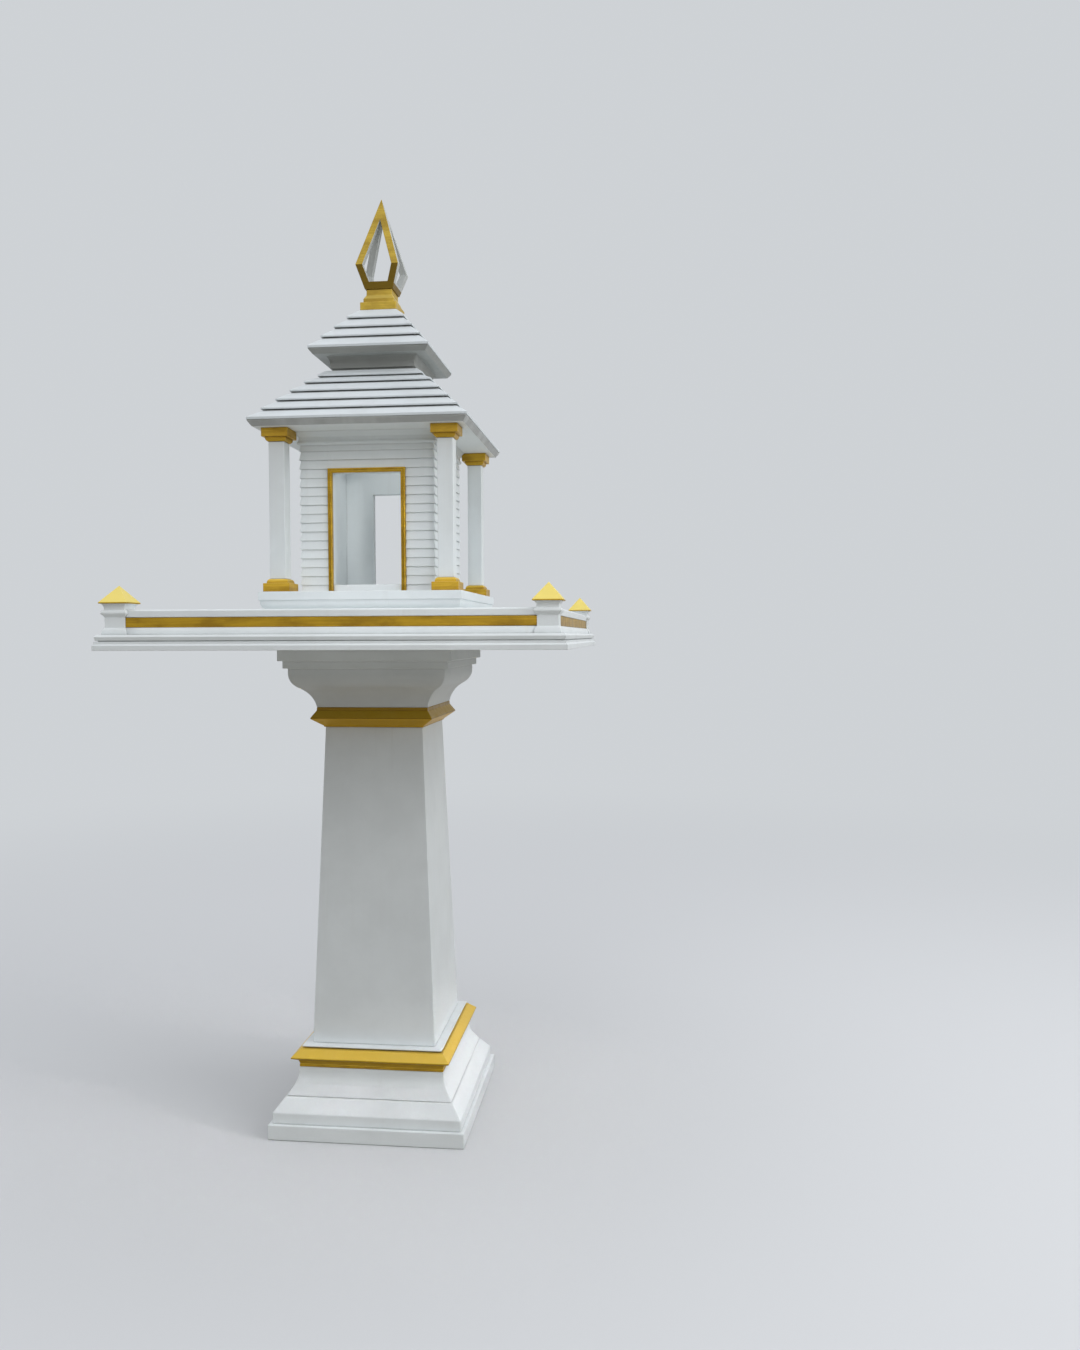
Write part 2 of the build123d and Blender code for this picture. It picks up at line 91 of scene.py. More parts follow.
class Graph:
    """A shader node tree, with short calls for the nodes that the finishes need most."""

    def __init__(self, tree: bpy.types.NodeTree) -> None:
        """Takes a node tree to build in, and empties it."""
        self.tree = tree
        tree.nodes.clear()

    def add(self, kind: str, inputs: dict | None = None, **settings: object) -> bpy.types.Node:
        """Adds one node.

        Args:
            kind: The node's type, without its ShaderNode prefix.
            inputs: Values or output sockets, by the name or number of the input that takes them.
            settings: Attributes of the node.

        Returns:
            The new node.
        """
        node = self.tree.nodes.new(kind if kind.startswith("Node") else "ShaderNode" + kind)
        for key, value in settings.items():
            setattr(node, key, value)
        for key, value in (inputs or {}).items():
            if isinstance(value, Socket):
                self.tree.links.new(value, node.inputs[key])
            else:
                node.inputs[key].default_value = value
        return node

    def math(self, operation: str, *terms: Socket | float) -> Socket:
        """The result of a Math node on the given numbers or sockets."""
        return self.add("Math", dict(enumerate(terms)), operation=operation).outputs[0]

    def ramp(
        self, value: Socket, low: float, high: float, to_low: float = 0.0, to_high: float = 1.0
    ) -> Socket:
        """A smooth ramp: to_low where the value is under low, to_high where it is over high."""
        inputs = {"Value": value, "From Min": low, "From Max": high, "To Min": to_low, "To Max": to_high}
        return self.add("MapRange", inputs, interpolation_type="SMOOTHSTEP").outputs["Result"]

    def noise(self, point: Socket, scale: float, detail: float = 3.0, roughness: float = 0.5) -> Socket:
        """A noise, 0 to 1: its features per metre, its finer octaves, and how strong they are."""
        inputs = {"Vector": point, "Scale": scale, "Detail": detail, "Roughness": roughness}
        return self.add("TexNoise", inputs).outputs["Fac"]

    def stretched(self, point: Socket, scale: Place) -> Socket:
        """Coordinates scaled by a factor along each axis."""
        return self.add("Mapping", {"Vector": point, "Scale": scale}).outputs["Vector"]

    def blend(self, factor: Socket | float, first: Socket | Colour, second: Socket | Colour) -> Socket:
        """Two colours mixed by a factor: at 0 the first shows, and at 1 the second."""
        # The Mix node has its colours at inputs 6 and 7 and at output 2.
        first, second = (side if isinstance(side, Socket) else (*side, 1) for side in (first, second))
        return self.add("Mix", {0: factor, 6: first, 7: second}, data_type="RGBA").outputs[2]

    def tinted(self, colour: Socket | Colour, mask: Socket, strength: float, tint: Colour) -> Socket:
        """A colour that turns to a tint where a mask is set, as far as the strength lets it."""
        return self.blend(self.math("MULTIPLY", mask, strength), colour, tint)

    def normal(self) -> Socket:
        """The direction that a face looks in, before any bump."""
        return self.add("NewGeometry").outputs["Normal"]

    def slope(self) -> Socket:
        """How far a face looks up: its normal's Z, from -1 to 1."""
        return self.add("SeparateXYZ", {0: self.normal()}).outputs["Z"]

    def seen(self) -> Socket:
        """Tells rays that show a surface, from the camera, a gloss or a glass, from those that light.

        Returns:
            1 for the first kind and 0 for the second.
        """
        ray = self.add("LightPath").outputs
        seen = self.math("MAXIMUM", ray["Is Camera Ray"], ray["Is Glossy Ray"])
        return self.math("MAXIMUM", seen, ray["Is Transmission Ray"])


def graph_of(holder: bpy.types.Material | bpy.types.World) -> Graph:
    """The empty node graph of a material or a world."""
    holder.use_nodes = True
    return Graph(holder.node_tree)


def brushed_paint(graph: Graph, given: Sockets) -> Sockets:
    """Paint laid on by brush: broad patches, fine strokes, grit and a few pinholes.

    Its height is the strokes, the grit and the patches, each times its own weight, less the holes.

    Args:
        graph: The effect's graph.
        given: Its inputs: the point, and how strong the grit is.

    Returns:
        The patches, the strokes and the height.
    """
    stroke_height, grit_height, patch_height, hole_depth = 0.5, 0.22, 0.8, -0.7
    point = given["Point"]
    patches = graph.noise(point, scale=5.5, detail=5.0, roughness=0.58)
    strokes = graph.noise(graph.stretched(point, (60, 60, 9)), scale=1.0, detail=4.0, roughness=0.6)
    grit = graph.noise(point, scale=420, detail=2.0, roughness=0.55)
    holes = graph.add("TexVoronoi", {"Vector": point, "Scale": 95.0}).outputs["Distance"]
    spread = graph.ramp(graph.noise(point, scale=23, detail=2.0), 0.58, 0.68)
    holes = graph.math("MULTIPLY", graph.ramp(holes, 0.03, 0.09, 1.0, 0.0), spread)
    height = graph.math("MULTIPLY", strokes, stroke_height)
    height = graph.math("MULTIPLY_ADD", grit, graph.math("MULTIPLY", given["Grit"], grit_height), height)
    height = graph.math("MULTIPLY_ADD", patches, patch_height, height)
    height = graph.math("MULTIPLY_ADD", holes, hole_depth, height)
    return {"Patches": patches, "Strokes": strokes, "Height": height}


def rain_streaks(graph: Graph, given: Sockets) -> Sockets:
    """Rain streaks: long upright stains on steep faces, in patches.

    Args:
        graph: The effect's graph.
        given: Its input: the point.

    Returns:
        The mask.
    """
    point = given["Point"]
    lines = graph.noise(graph.stretched(point, (34, 34, 1.5)), scale=1.0, detail=4.0, roughness=0.62)
    lines = graph.ramp(lines, 0.52, 0.78)
    patches = graph.ramp(graph.noise(point, scale=3.1, detail=2.0), 0.42, 0.66)
    steep = graph.ramp(graph.math("ABSOLUTE", graph.slope()), 0.3, 0.75, 1.0, 0.0)
    return {"Mask": graph.math("MULTIPLY", graph.math("MULTIPLY", lines, patches), steep)}


def settled_dust(graph: Graph, given: Sockets) -> Sockets:
    """Dust that settles on faces turned up, thinner in patches where rain has washed it.

    Args:
        graph: The effect's graph.
        given: Its input: the point.

    Returns:
        The mask.
    """
    upward = graph.ramp(graph.slope(), 0.35, 0.95)
    washed = graph.noise(given["Point"], scale=11, detail=6.0, roughness=0.65)
    return {"Mask": graph.math("MULTIPLY", upward, graph.ramp(washed, 0.35, 0.75, 0.25, 1.0))}


def worn_highlit_edges(graph: Graph, given: Sockets) -> Sockets:
    """Worn edges with a painted highlight: where the rounded normal leaves the face's own, broken up by
    noise.

    Args:
        graph: The effect's graph.
        given: Its inputs: the point, and the width of the wear.

    Returns:
        The mask.
    """
    rounded = graph.add("Bevel", {"Radius": given["Width"]}, samples=4).outputs[0]
    dot = graph.add("VectorMath", {0: rounded, 1: graph.normal()}, operation="DOT_PRODUCT")
    edge = graph.ramp(dot.outputs["Value"], 0.80, 0.99, 1.0, 0.0)
    rub = graph.ramp(graph.noise(given["Point"], scale=60, detail=4.0, roughness=0.6), 0.38, 0.62)
    return {"Mask": graph.math("MULTIPLY", edge, rub)}


def crevice_shade(graph: Graph, given: Sockets) -> Sockets:
    """Painted shade in grooves and under laps, where near faces hide the sky, thinner in patches.

    Args:
        graph: The effect's graph.
        given: Its inputs: the point, and how near a face hides the sky.

    Returns:
        The mask.
    """
    sky = graph.add("AmbientOcclusion", {"Distance": given["Reach"]}, samples=8).outputs["AO"]
    hidden = graph.ramp(sky, 0.30, 0.85, 1.0, 0.0)
    patches = graph.noise(given["Point"], scale=19, detail=4.0, roughness=0.6)
    return {"Mask": graph.math("MULTIPLY", hidden, graph.ramp(patches, 0.30, 0.60, 0.55, 1.0))}


def leaning_face_shade(graph: Graph, given: Sockets) -> Sockets:
    """Painted shade on faces upright or leaning over, such as an eave's edges, but not on soffits.

    Args:
        graph: The effect's graph.
        given: Its input: the point.

    Returns:
        The mask.
    """
    slope = graph.slope()
    edge = graph.math("MULTIPLY", graph.ramp(slope, -0.95, -0.8), graph.ramp(slope, 0.1, 0.4, 1.0, 0.0))
    patches = graph.noise(graph.stretched(given["Point"], (14, 14, 4)), scale=1.0)
    return {"Mask": graph.math("MULTIPLY", edge, graph.ramp(patches, 0.3, 0.6, 0.7, 1.0))}


Recipe = Callable[[Graph, Sockets], Sockets]

# Each effect, with its inputs beside the point and their usual values.
EFFECTS: dict[Recipe, dict[str, float]] = {
    brushed_paint: {"Grit": 1.0},
    rain_streaks: {},
    settled_dust: {},
    worn_highlit_edges: {"Width": 0.002},
    crevice_shade: {"Reach": 0.01},
    leaning_face_shade: {},
}


Effects = dict[Recipe, bpy.types.NodeTree]


def effect_group(recipe: Recipe, numbers: dict[str, float]) -> bpy.types.NodeTree:
    """Builds an effect as a node group that has its recipe's name.

    Args:
        recipe: Works out the effect's outputs from its inputs.
        numbers: The inputs beside the point, with their usual values.

    Returns:
        The group.
    """
    tree = bpy.data.node_groups.new(recipe.__name__, "ShaderNodeTree")
    tree.interface.new_socket("Point", in_out="INPUT", socket_type="NodeSocketVector")
    for label, value in numbers.items():
        socket = tree.interface.new_socket(label, in_out="INPUT", socket_type="NodeSocketFloat")
        socket.default_value = value
    graph = Graph(tree)
    results = recipe(graph, graph.add("NodeGroupInput").outputs)
    for label in results:
        tree.interface.new_socket(label, in_out="OUTPUT", socket_type="NodeSocketFloat")
    graph.add("NodeGroupOutput", results)
    return tree


class PaintGraph(Graph):
    """A material's graph, with the shared effects and the coordinates that they are read at."""

    def __init__(self, material: bpy.types.Material, effects: Effects) -> None:
        """Takes a new material.

        Args:
            material: The material to build.
            effects: The shared effects, as node groups by their recipes.
        """
        material.use_nodes = True
        super().__init__(material.node_tree)
        self.effects = effects
        self.point = self.add("TexCoord").outputs["Object"]

    def effect(self, recipe: Recipe, **numbers: float) -> Sockets:
        """Places an effect, and gives its outputs."""
        inputs = {"Point": self.point, **numbers}
        return self.add("Group", inputs, node_tree=self.effects[recipe]).outputs

    def mask(self, recipe: Recipe, **numbers: float) -> Socket:
        """Places an effect, and gives its mask."""
        return self.effect(recipe, **numbers)["Mask"]


# Finishes


@dataclass(frozen=True)
class Paint(ABC):
    """Paint on cast cement or boards: a tone of its own, then dust, painted shade and relief."""

    base: Colour
    dust_colour: Colour
    # Painted shade: the next colour darkens crevices and laps within a reach, and faces that lean over.
    shade_colour: Colour
    dust: float
    dust_dulling: float
    crevice_shading: float
    shade_reach: float
    grit: float
    roughness: Span
    relief: float
    metallic: float
    specular: float
    leaning_shade: float = 0.0

    @abstractmethod
    def tone(self, graph: PaintGraph, patches: Socket) -> Socket:
        """The paint's own colour before any dirt, from the broad patches of the brushed paint."""

    def build(self, name: str, effects: Effects) -> bpy.types.Material:
        """Builds the material: its tone, then dust and painted shade, and the relief of the brush.

        Args:
            name: The material's name.
            effects: The shared effects, as node groups by their recipes.

        Returns:
            The material.
        """
        material = bpy.data.materials.new(name)
        graph = PaintGraph(material, effects)
        brushed = graph.effect(brushed_paint, Grit=self.grit)
        dust = graph.mask(settled_dust)
        # Painted shade in crevices and under laps, and on faces that lean over, follows the dust.
        crevice_shading = graph.mask(crevice_shade, Reach=self.shade_reach)
        colour = graph.tinted(self.tone(graph, brushed["Patches"]), dust, self.dust, self.dust_colour)
        if self.leaning_shade:
            colour = graph.tinted(colour, graph.mask(leaning_face_shade), self.leaning_shade, self.shade_colour)
        colour = graph.tinted(colour, crevice_shading, self.crevice_shading, self.shade_colour)
        roughness = graph.ramp(brushed["Strokes"], 0.3, 0.7, *self.roughness)
        roughness = graph.math("MULTIPLY_ADD", dust, self.dust_dulling, roughness)
        bump = graph.add("Bump", {"Height": brushed["Height"], "Distance": self.relief})
        shader = graph.add("BsdfPrincipled", {
            "Base Color": colour, "Roughness": roughness, "Normal": bump.outputs[0],
            "Metallic": self.metallic, "Specular IOR Level": self.specular,
        })
        graph.add("OutputMaterial", {"Surface": shader.outputs[0]})
        return material


@dataclass(frozen=True)
class WhitePaint(Paint):
    """White masonry paint on cast cement or boards, with rain streaks."""

    base: Colour = (0.778, 0.82, 0.832)
    shade: Colour = (0.735, 0.775, 0.785)
    stain: Colour = (0.50, 0.49, 0.455)
    dust_colour: Colour = (0.56, 0.545, 0.51)
    shade_colour: Colour = (0.20, 0.20, 0.185)
    streaks: float = 0.16
    dust: float = 0.16
    dust_dulling: float = 0.2
    crevice_shading: float = 0.38
    shade_reach: float = 0.010
    grit: float = 1.0
    roughness: Span = (0.40, 0.58)
    relief: float = 0.0004
    metallic: float = 0.0
    specular: float = 0.4

    def tone(self, graph: PaintGraph, patches: Socket) -> Socket:
        """Two whites in broad patches, stained in rain streaks."""
        colour = graph.blend(graph.ramp(patches, 0.36, 0.68), self.base, self.shade)
        return graph.tinted(colour, graph.mask(rain_streaks), self.streaks, self.stain)


@dataclass(frozen=True)
class GoldPaint(Paint):
    """Gold metallic paint, brushed on: painted highlight above and on worn edges, painted shade beneath.
    """

    base: Colour = (0.56, 0.345, 0.016)
    deep: Colour = (0.29, 0.155, 0.005)
    # Painted light and shade by slope: lighter gold on faces turned up, browner gold on faces turned
    # down.
    painted_highlight: Colour = (0.82, 0.55, 0.07)
    painted_underside_shade: Colour = (0.43, 0.25, 0.008)
    # Worn edges lighten to the next colour: wear and a painted highlight in one.
    rubbed_highlight: Colour = (0.90, 0.66, 0.17)
    dust_colour: Colour = (0.80, 0.74, 0.52)
    shade_colour: Colour = (0.10, 0.07, 0.03)
    pooling: float = 0.75
    brush_lines: float = 0.45
    # The worn edges' painted highlight: its strength and its width.
    edge_highlight: float = 0.6
    edge_highlight_width: float = 0.0022
    dust: float = 0.08
    dust_dulling: float = 0.15
    crevice_shading: float = 0.5
    shade_reach: float = 0.006
    grit: float = 1.4
    roughness: Span = (0.32, 0.48)
    relief: float = 0.0005
    metallic: float = 0.4
    specular: float = 0.3

    def tone(self, graph: PaintGraph, patches: Socket) -> Socket:
        """Pooled pigment and level brush lines, then painted highlight above and shade beneath, then
        rubbed edges.

        Args:
            graph: The material's graph.
            patches: The broad patches of the brushed paint, which gold doesn't show.

        Returns:
            The paint's own colour.
        """
        pooled = graph.noise(graph.stretched(graph.point, (9, 9, 26)), 1.0, detail=4.0, roughness=0.6)
        lines = graph.noise(graph.stretched(graph.point, (7, 7, 230)), 1.0, roughness=0.6)
        slope = graph.slope()
        colour = graph.tinted(self.base, graph.ramp(pooled, 0.40, 0.64), self.pooling, self.deep)
        colour = graph.tinted(colour, graph.ramp(lines, 0.38, 0.66), self.brush_lines, self.deep)
        # Painted highlight on faces turned up, painted shade on faces turned down.
        colour = graph.blend(graph.ramp(slope, 0.25, 0.72), colour, self.painted_highlight)
        colour = graph.blend(graph.ramp(slope, -0.5, -0.1, 1.0, 0.0), colour, self.painted_underside_shade)
        # Worn edges lightened to the rubbed colour: wear with a painted highlight.
        edges = graph.mask(worn_highlit_edges, Width=self.edge_highlight_width)
        return graph.tinted(colour, edges, self.edge_highlight, self.rubbed_highlight)


class Finish(Enum):
    """The finishes: each has its material's name, the record's slot it stands for, and its paint."""

    CEMENT = ("white_cement_paint", "white_cement", WhitePaint())
    # Painted shade: a greyer copy of the white for the neck and the upper eave slab, with stronger shade
    # in crevices and on leaning faces.
    SHADED_CEMENT = ("shaded_cement_paint", "white_cement", WhitePaint(
        base=(0.455, 0.475, 0.46), shade=(0.405, 0.425, 0.41), crevice_shading=0.6, leaning_shade=0.45))
    # Painted light and shade: a whiter copy of the white that lifts the lower soffit, and dark painted
    # shade on the eave's leaning edges.
    EAVES_LIGHT_AND_SHADE = ("eaves_light_and_shade_paint", "white_cement", WhitePaint(
        base=(0.84, 0.87, 0.87), shade=(0.805, 0.835, 0.835), leaning_shade=0.64))
    # Painted shade: a greyer copy of the white for the bud's inner and side faces.
    SHADED_BUD_WHITE = ("shaded_bud_white_paint", "white_cement", WhitePaint(
        base=(0.575, 0.60, 0.585), shade=(0.52, 0.54, 0.53), crevice_shading=0.0))
    SIDING = ("siding_paint", "siding_boards", WhitePaint(
        streaks=0.2, dust=0.2, grit=0.6, relief=0.0003))
    # Stronger painted shade in the gaps under the roof's lips.
    ROOF = ("roof_paint", "roof_boards", WhitePaint(
        base=(0.735, 0.785, 0.81), shade=(0.68, 0.73, 0.755), streaks=0.3, dust=0.24,
        crevice_shading=0.8, grit=0.8))
    GOLD = ("gold_metallic_paint", "gold_paint", GoldPaint())
    RICH_GOLD = ("rich_gold_paint", "gold_paint", GoldPaint(
        base=(0.65, 0.405, 0.034), deep=(0.36, 0.195, 0.012), painted_highlight=(0.86, 0.59, 0.09),
        painted_underside_shade=(0.52, 0.31, 0.022)))
    PALE_GOLD = ("pale_gold_paint", "gold_paint", GoldPaint(
        base=(0.66, 0.46, 0.062), deep=(0.37, 0.235, 0.028), painted_highlight=(0.91, 0.70, 0.17),
        painted_underside_shade=(0.50, 0.32, 0.03)))
    # Painted shade: a darker copy of the gold for the strips set in the parapet's recess.
    RECESS_SHADED_GOLD = ("recess_shaded_gold_paint", "gold_paint", GoldPaint(
        base=(0.48, 0.29, 0.014), deep=(0.25, 0.134, 0.005)))
    # Painted highlight: a copy of the gold, lighter on faces turned up, for the post caps.
    HIGHLIT_GOLD = ("highlit_gold_paint", "gold_paint", GoldPaint(painted_highlight=(1.0, 0.82, 0.22)))
    # Painted shade: a darker copy of the gold for the neck band under the terrace.
    SHADED_GOLD = ("shaded_gold_paint", "gold_paint", GoldPaint(
        base=(0.31, 0.175, 0.004), deep=(0.25, 0.135, 0.003), painted_highlight=(0.50, 0.31, 0.012),
        painted_underside_shade=(0.62, 0.36, 0.012)))
    # Painted shade: a dark brown copy of the gold for the bud's faces that look down.
    SHADED_UNDERSIDE_GOLD = ("shaded_underside_gold_paint", "gold_paint", GoldPaint(
        base=(0.24, 0.15, 0.010), deep=(0.16, 0.095, 0.006), painted_underside_shade=(0.21, 0.13, 0.008)))

    def __init__(self, material: str, slot: str, paint: Paint) -> None:
        """Names the three parts of the finish."""
        self.material, self.slot, self.paint = material, slot, paint


# Surfaces


@dataclass
class Shell:
    """A closed surface: rows of points, each row a closed loop, joined row to row.

    It is capped at both ends, or where it is a ring its last row joins its first.
    """

    rows: np.ndarray
    smooth: np.ndarray
    ring: bool = False

    def mesh_data(self, start: int) -> tuple[np.ndarray, list[list[int]], np.ndarray]:
        """Works out vertices and faces.

        Each point joins the next in its row and the same two in the next row, as one four-sided
        face, and one many-sided face closes each end that is open.

        Args:
            start: The number of the first vertex.

        Returns:
            The vertices, the faces as vertex numbers, and which faces are shaded smooth.
        """
        count, around = self.rows.shape[:2]
        first = start + np.arange(count * around).reshape(count, around)
        above = np.roll(first, -1, axis=0)
        corners = [first, np.roll(first, -1, axis=1), np.roll(above, -1, axis=1), above]
        quads = np.stack(corners, axis=-1)[: count if self.ring else count - 1].reshape(-1, 4)
        caps = [] if self.ring else [first[0, ::-1].tolist(), first[-1].tolist()]
        smooth = np.concatenate([self.smooth.reshape(-1), np.zeros(len(caps), bool)])
        return self.rows.reshape(-1, 3), quads.tolist() + caps, smooth


@dataclass(frozen=True)
class Mould:
    """How a piece is cast: its edges' round, and its unevenness by hand, which is always inward.

    The spans are the runs that each side of a square is cut into.
    """

    radius: float = 0.0018
    depth: float = 0.0006
    spans: int = 14
    seed: int = 0

    def numbered(self, seed: int) -> Self:
        """The same mould with another unevenness of the same depth."""
        return replace(self, seed=seed)

    def inset(self, along: np.ndarray, height: np.ndarray) -> np.ndarray:
        """How far a face stands in at each place: three slow waves of unlike length, summed.

        Args:
            along: The place along the piece, in metres.
            height: The height, in metres.

        Returns:
            The inset, from 0 to the depth.
        """
        phases = np.random.default_rng(self.seed).uniform(0, 2 * np.pi, 3)
        waves = (
            np.sin(along * 11.0 + height * 7.0 + phases[0])
            + np.sin(along * 27.0 - height * 5.0 + phases[1]) * 0.6
            + np.sin(along * 53.0 + height * 3.0 + phases[2]) * 0.4
        )
        return self.depth * (waves / 4 + 0.5)


def half_profile(node: str, centre: Plan = (0.0, 0.0)) -> np.ndarray:
    """Reads a square piece's half profile off its node, along the mitre at its front right.

    Loose vertices are welded on a fine grid. Of the welded edges, those with both ends on the
    mitre, where x is as far right of the centre as y is in front of it, form one chain, which is
    walked from its foot to its head.

    Args:
        node: The node's name.
        centre: The middle of the square, for a node that holds several.

    Returns:
        Half width and height of each point, from foot to head.
    """
    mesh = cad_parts[node].data
    points = np.empty(len(mesh.vertices) * 3, np.float32)
    mesh.vertices.foreach_get("co", points)
    ends = np.empty(len(mesh.edges) * 2, np.int32)
    mesh.edges.foreach_get("vertices", ends)
    grid = np.round(points.reshape(-1, 3) / WELD).astype(np.int64)
    welded, number = np.unique(grid, axis=0, return_inverse=True)
    ends = np.unique(np.sort(number.reshape(-1)[ends.reshape(-1, 2)], axis=1), axis=0)
    local = welded * WELD - (*centre, 0.0)
    reach = np.minimum(local[:, 0], -local[:, 1])
    on_mitre = (np.abs(local[:, 0] + local[:, 1]) < 4 * WELD) & (reach > -WELD)
    chain = ends[(on_mitre[ends]).all(axis=1) & (ends[:, 0] != ends[:, 1])]
    neighbours: dict[int, list[int]] = {}
    for first, second in chain.tolist():
        neighbours.setdefault(first, []).append(second)
        neighbours.setdefault(second, []).append(first)
    tips = [point for point, others in neighbours.items() if len(others) == 1]
    here = min(tips, key=lambda point: local[point, 2])
    walk = [here]
    while ahead := [point for point in neighbours[here] if point not in walk[-2:]]:
        here = ahead[0]
        walk.append(here)
    return np.stack([reach[walk], local[walk, 2]], axis=1)


def softened(corners: np.ndarray, radius: float, steps: int = 4) -> tuple[np.ndarray, np.ndarray]:
    """Rounds the sharp corners of a closed outline.

    At each sharp corner the outline leaves its edge a radius before the corner and joins the next
    one a radius after it, along the quadratic curve that the corner itself pulls on. Gentle
    turns, where an arc was cut into short runs, stay.

    Args:
        corners: The outline's corners, in order.
        radius: The distance cut from each edge, less where an edge is short.
        steps: The points on each rounded corner.

    Returns:
        The rounded outline, and for each of its runs whether it is part of a curve.
    """
    back = np.roll(corners, 1, axis=0) - corners
    ahead = np.roll(corners, -1, axis=0) - corners
    back_length = np.linalg.norm(back, axis=1, keepdims=True)
    ahead_length = np.linalg.norm(ahead, axis=1, keepdims=True)
    cross = back[:, 1] * ahead[:, 0] - back[:, 0] * ahead[:, 1]
    turn = np.abs(np.arctan2(cross, -(back * ahead).sum(axis=1)))
    sharp = turn > SHARP_TURN
    cut = np.minimum(radius, LARGEST_CUT * np.minimum(back_length, ahead_length)) * sharp[:, None]
    t = np.linspace(0, 1, steps)[None, :, None]
    pull_back = (back / back_length * cut)[:, None] * (1 - t) ** 2
    pull_ahead = (ahead / ahead_length * cut)[:, None] * t**2
    points = corners[:, None] + pull_back + pull_ahead
    keep = sharp[:, None] | (np.arange(steps) == 0)
    inside = sharp[:, None] & (np.arange(steps) < steps - 1)
    gentle = (turn > GENTLE_TURN) & ~sharp
    swelling = (ahead_length[:, 0] < SHORT_RUN) & (gentle | np.roll(gentle, -1))
    last = np.where(sharp[:, None], np.arange(steps) == steps - 1, np.arange(steps) == 0)
    curved = inside | (last & swelling[:, None])
    return points[keep], curved[keep]


def bowed(start: Plan, end: Plan, swell: float, steps: int = 7) -> np.ndarray:
    """A curved stretch of an outline: its chord, plus a parabola out to the right of it.

    Args:
        start: Half width and height where it starts.
        end: Half width and height where it ends.
        swell: How far its middle stands off the chord.
        steps: The points along it.

    Returns:
        Half width and height of each point.
    """
    t = np.linspace(0, 1, steps)[:, None]
    chord = np.subtract(end, start)
    outward = np.array([chord[1], -chord[0]]) / np.hypot(*chord)
    return start + chord * t + outward * swell * 4 * t * (1 - t)


def quarter_turned(plan: np.ndarray, side: int) -> np.ndarray:
    """Plan points turned about the axis, by one quarter turn for each side past the front."""
    return plan @ np.linalg.matrix_power(QUARTER_TURN, side).T


def plan_ring(spans: int, corner_steps: int = 3) -> tuple[np.ndarray, np.ndarray, np.ndarray]:
    """A square walked once round, in two parts: where its core is, and which way is outward.

    Each side runs from -1 to 1 with the outward direction square to it, and at its end the
    outward direction swings a quarter turn while the core stays on the corner.

    Args:
        spans: The runs along each side.
        corner_steps: The points between two sides.

    Returns:
        The core points, the outward directions, and for each run whether it rounds a corner.
    """
    along = np.linspace(-1, 1, spans + 1)
    swing = np.linspace(-np.pi / 2, 0, corner_steps + 2)[1:-1]
    core = np.concatenate([
        np.stack([along, np.full_like(along, -1)], axis=1),
        np.tile((1.0, -1.0), (corner_steps, 1)),
    ])
    outward = np.concatenate([
        np.tile((0.0, -1.0), (spans + 1, 1)),
        np.stack([np.cos(swing), np.sin(swing)], axis=1),
    ])
    rounds = np.arange(len(core)) >= spans
    return (
        np.concatenate([quarter_turned(core, side) for side in range(4)]),
        np.concatenate([quarter_turned(outward, side) for side in range(4)]),
        np.tile(rounds, 4),
    )


def square_rows(outline: np.ndarray, mould: Mould, centre: Plan) -> tuple[np.ndarray, np.ndarray]:
    """Carries an outline round a square with rounded mitres.

    Each outline point becomes one row: the core square, in by the radius, plus the outward
    direction times the radius, less the hand's inset.

    Args:
        outline: Half width and height of each point.
        mould: How it is cast.
        centre: The middle of the square.

    Returns:
        The rows, and for each run along a row whether it rounds a corner.
    """
    core, outward, rounds = plan_ring(mould.spans)
    half, height = outline[:, :1], outline[:, 1:]
    rounding = np.minimum(mould.radius, half)
    along = (core * (1 - np.abs(outward))).sum(axis=1) * half
    inset = mould.inset(along, height)[..., None]
    plan = core * (half - rounding)[..., None] + outward * (rounding[..., None] - inset)
    level = np.broadcast_to(height[..., None], (*plan.shape[:2], 1))
    return np.concatenate([plan + np.array(centre), level], axis=-1), rounds


def cast_square(profile: np.ndarray, mould: Mould, centre: Plan = (0.0, 0.0)) -> Shell:
    """A piece that is square at every height, with rounded edges and mitres.

    The half profile is closed along the axis, its corners are rounded, and it is carried round.

    Args:
        profile: Half width and height of each point, from foot to head.
        mould: How it is cast.
        centre: The middle of the square.

    Returns:
        The closed surface.
    """
    foot, head = (0.0, profile[0, 1]), (0.0, profile[-1, 1])
    blunt = np.maximum(profile, (mould.radius / 2, -np.inf))
    outline, curved = softened(np.concatenate([[foot], blunt, [head]]), mould.radius)
    rows, rounds = square_rows(outline[1:-1], mould, centre)
    return Shell(rows, curved[1:-2, None] | rounds[None])


def cast_ring(outline: np.ndarray, mould: Mould) -> Shell:
    """A square ring about the axis, with rounded edges and mitres.

    Args:
        outline: Half width and height of each point, as a closed outline clear of the axis.
        mould: How it is cast.

    Returns:
        The closed surface.
    """
    soft, curved = softened(outline, mould.radius)
    rows, rounds = square_rows(soft, mould, (0.0, 0.0))
    return Shell(rows, curved[:, None] | rounds[None], ring=True)


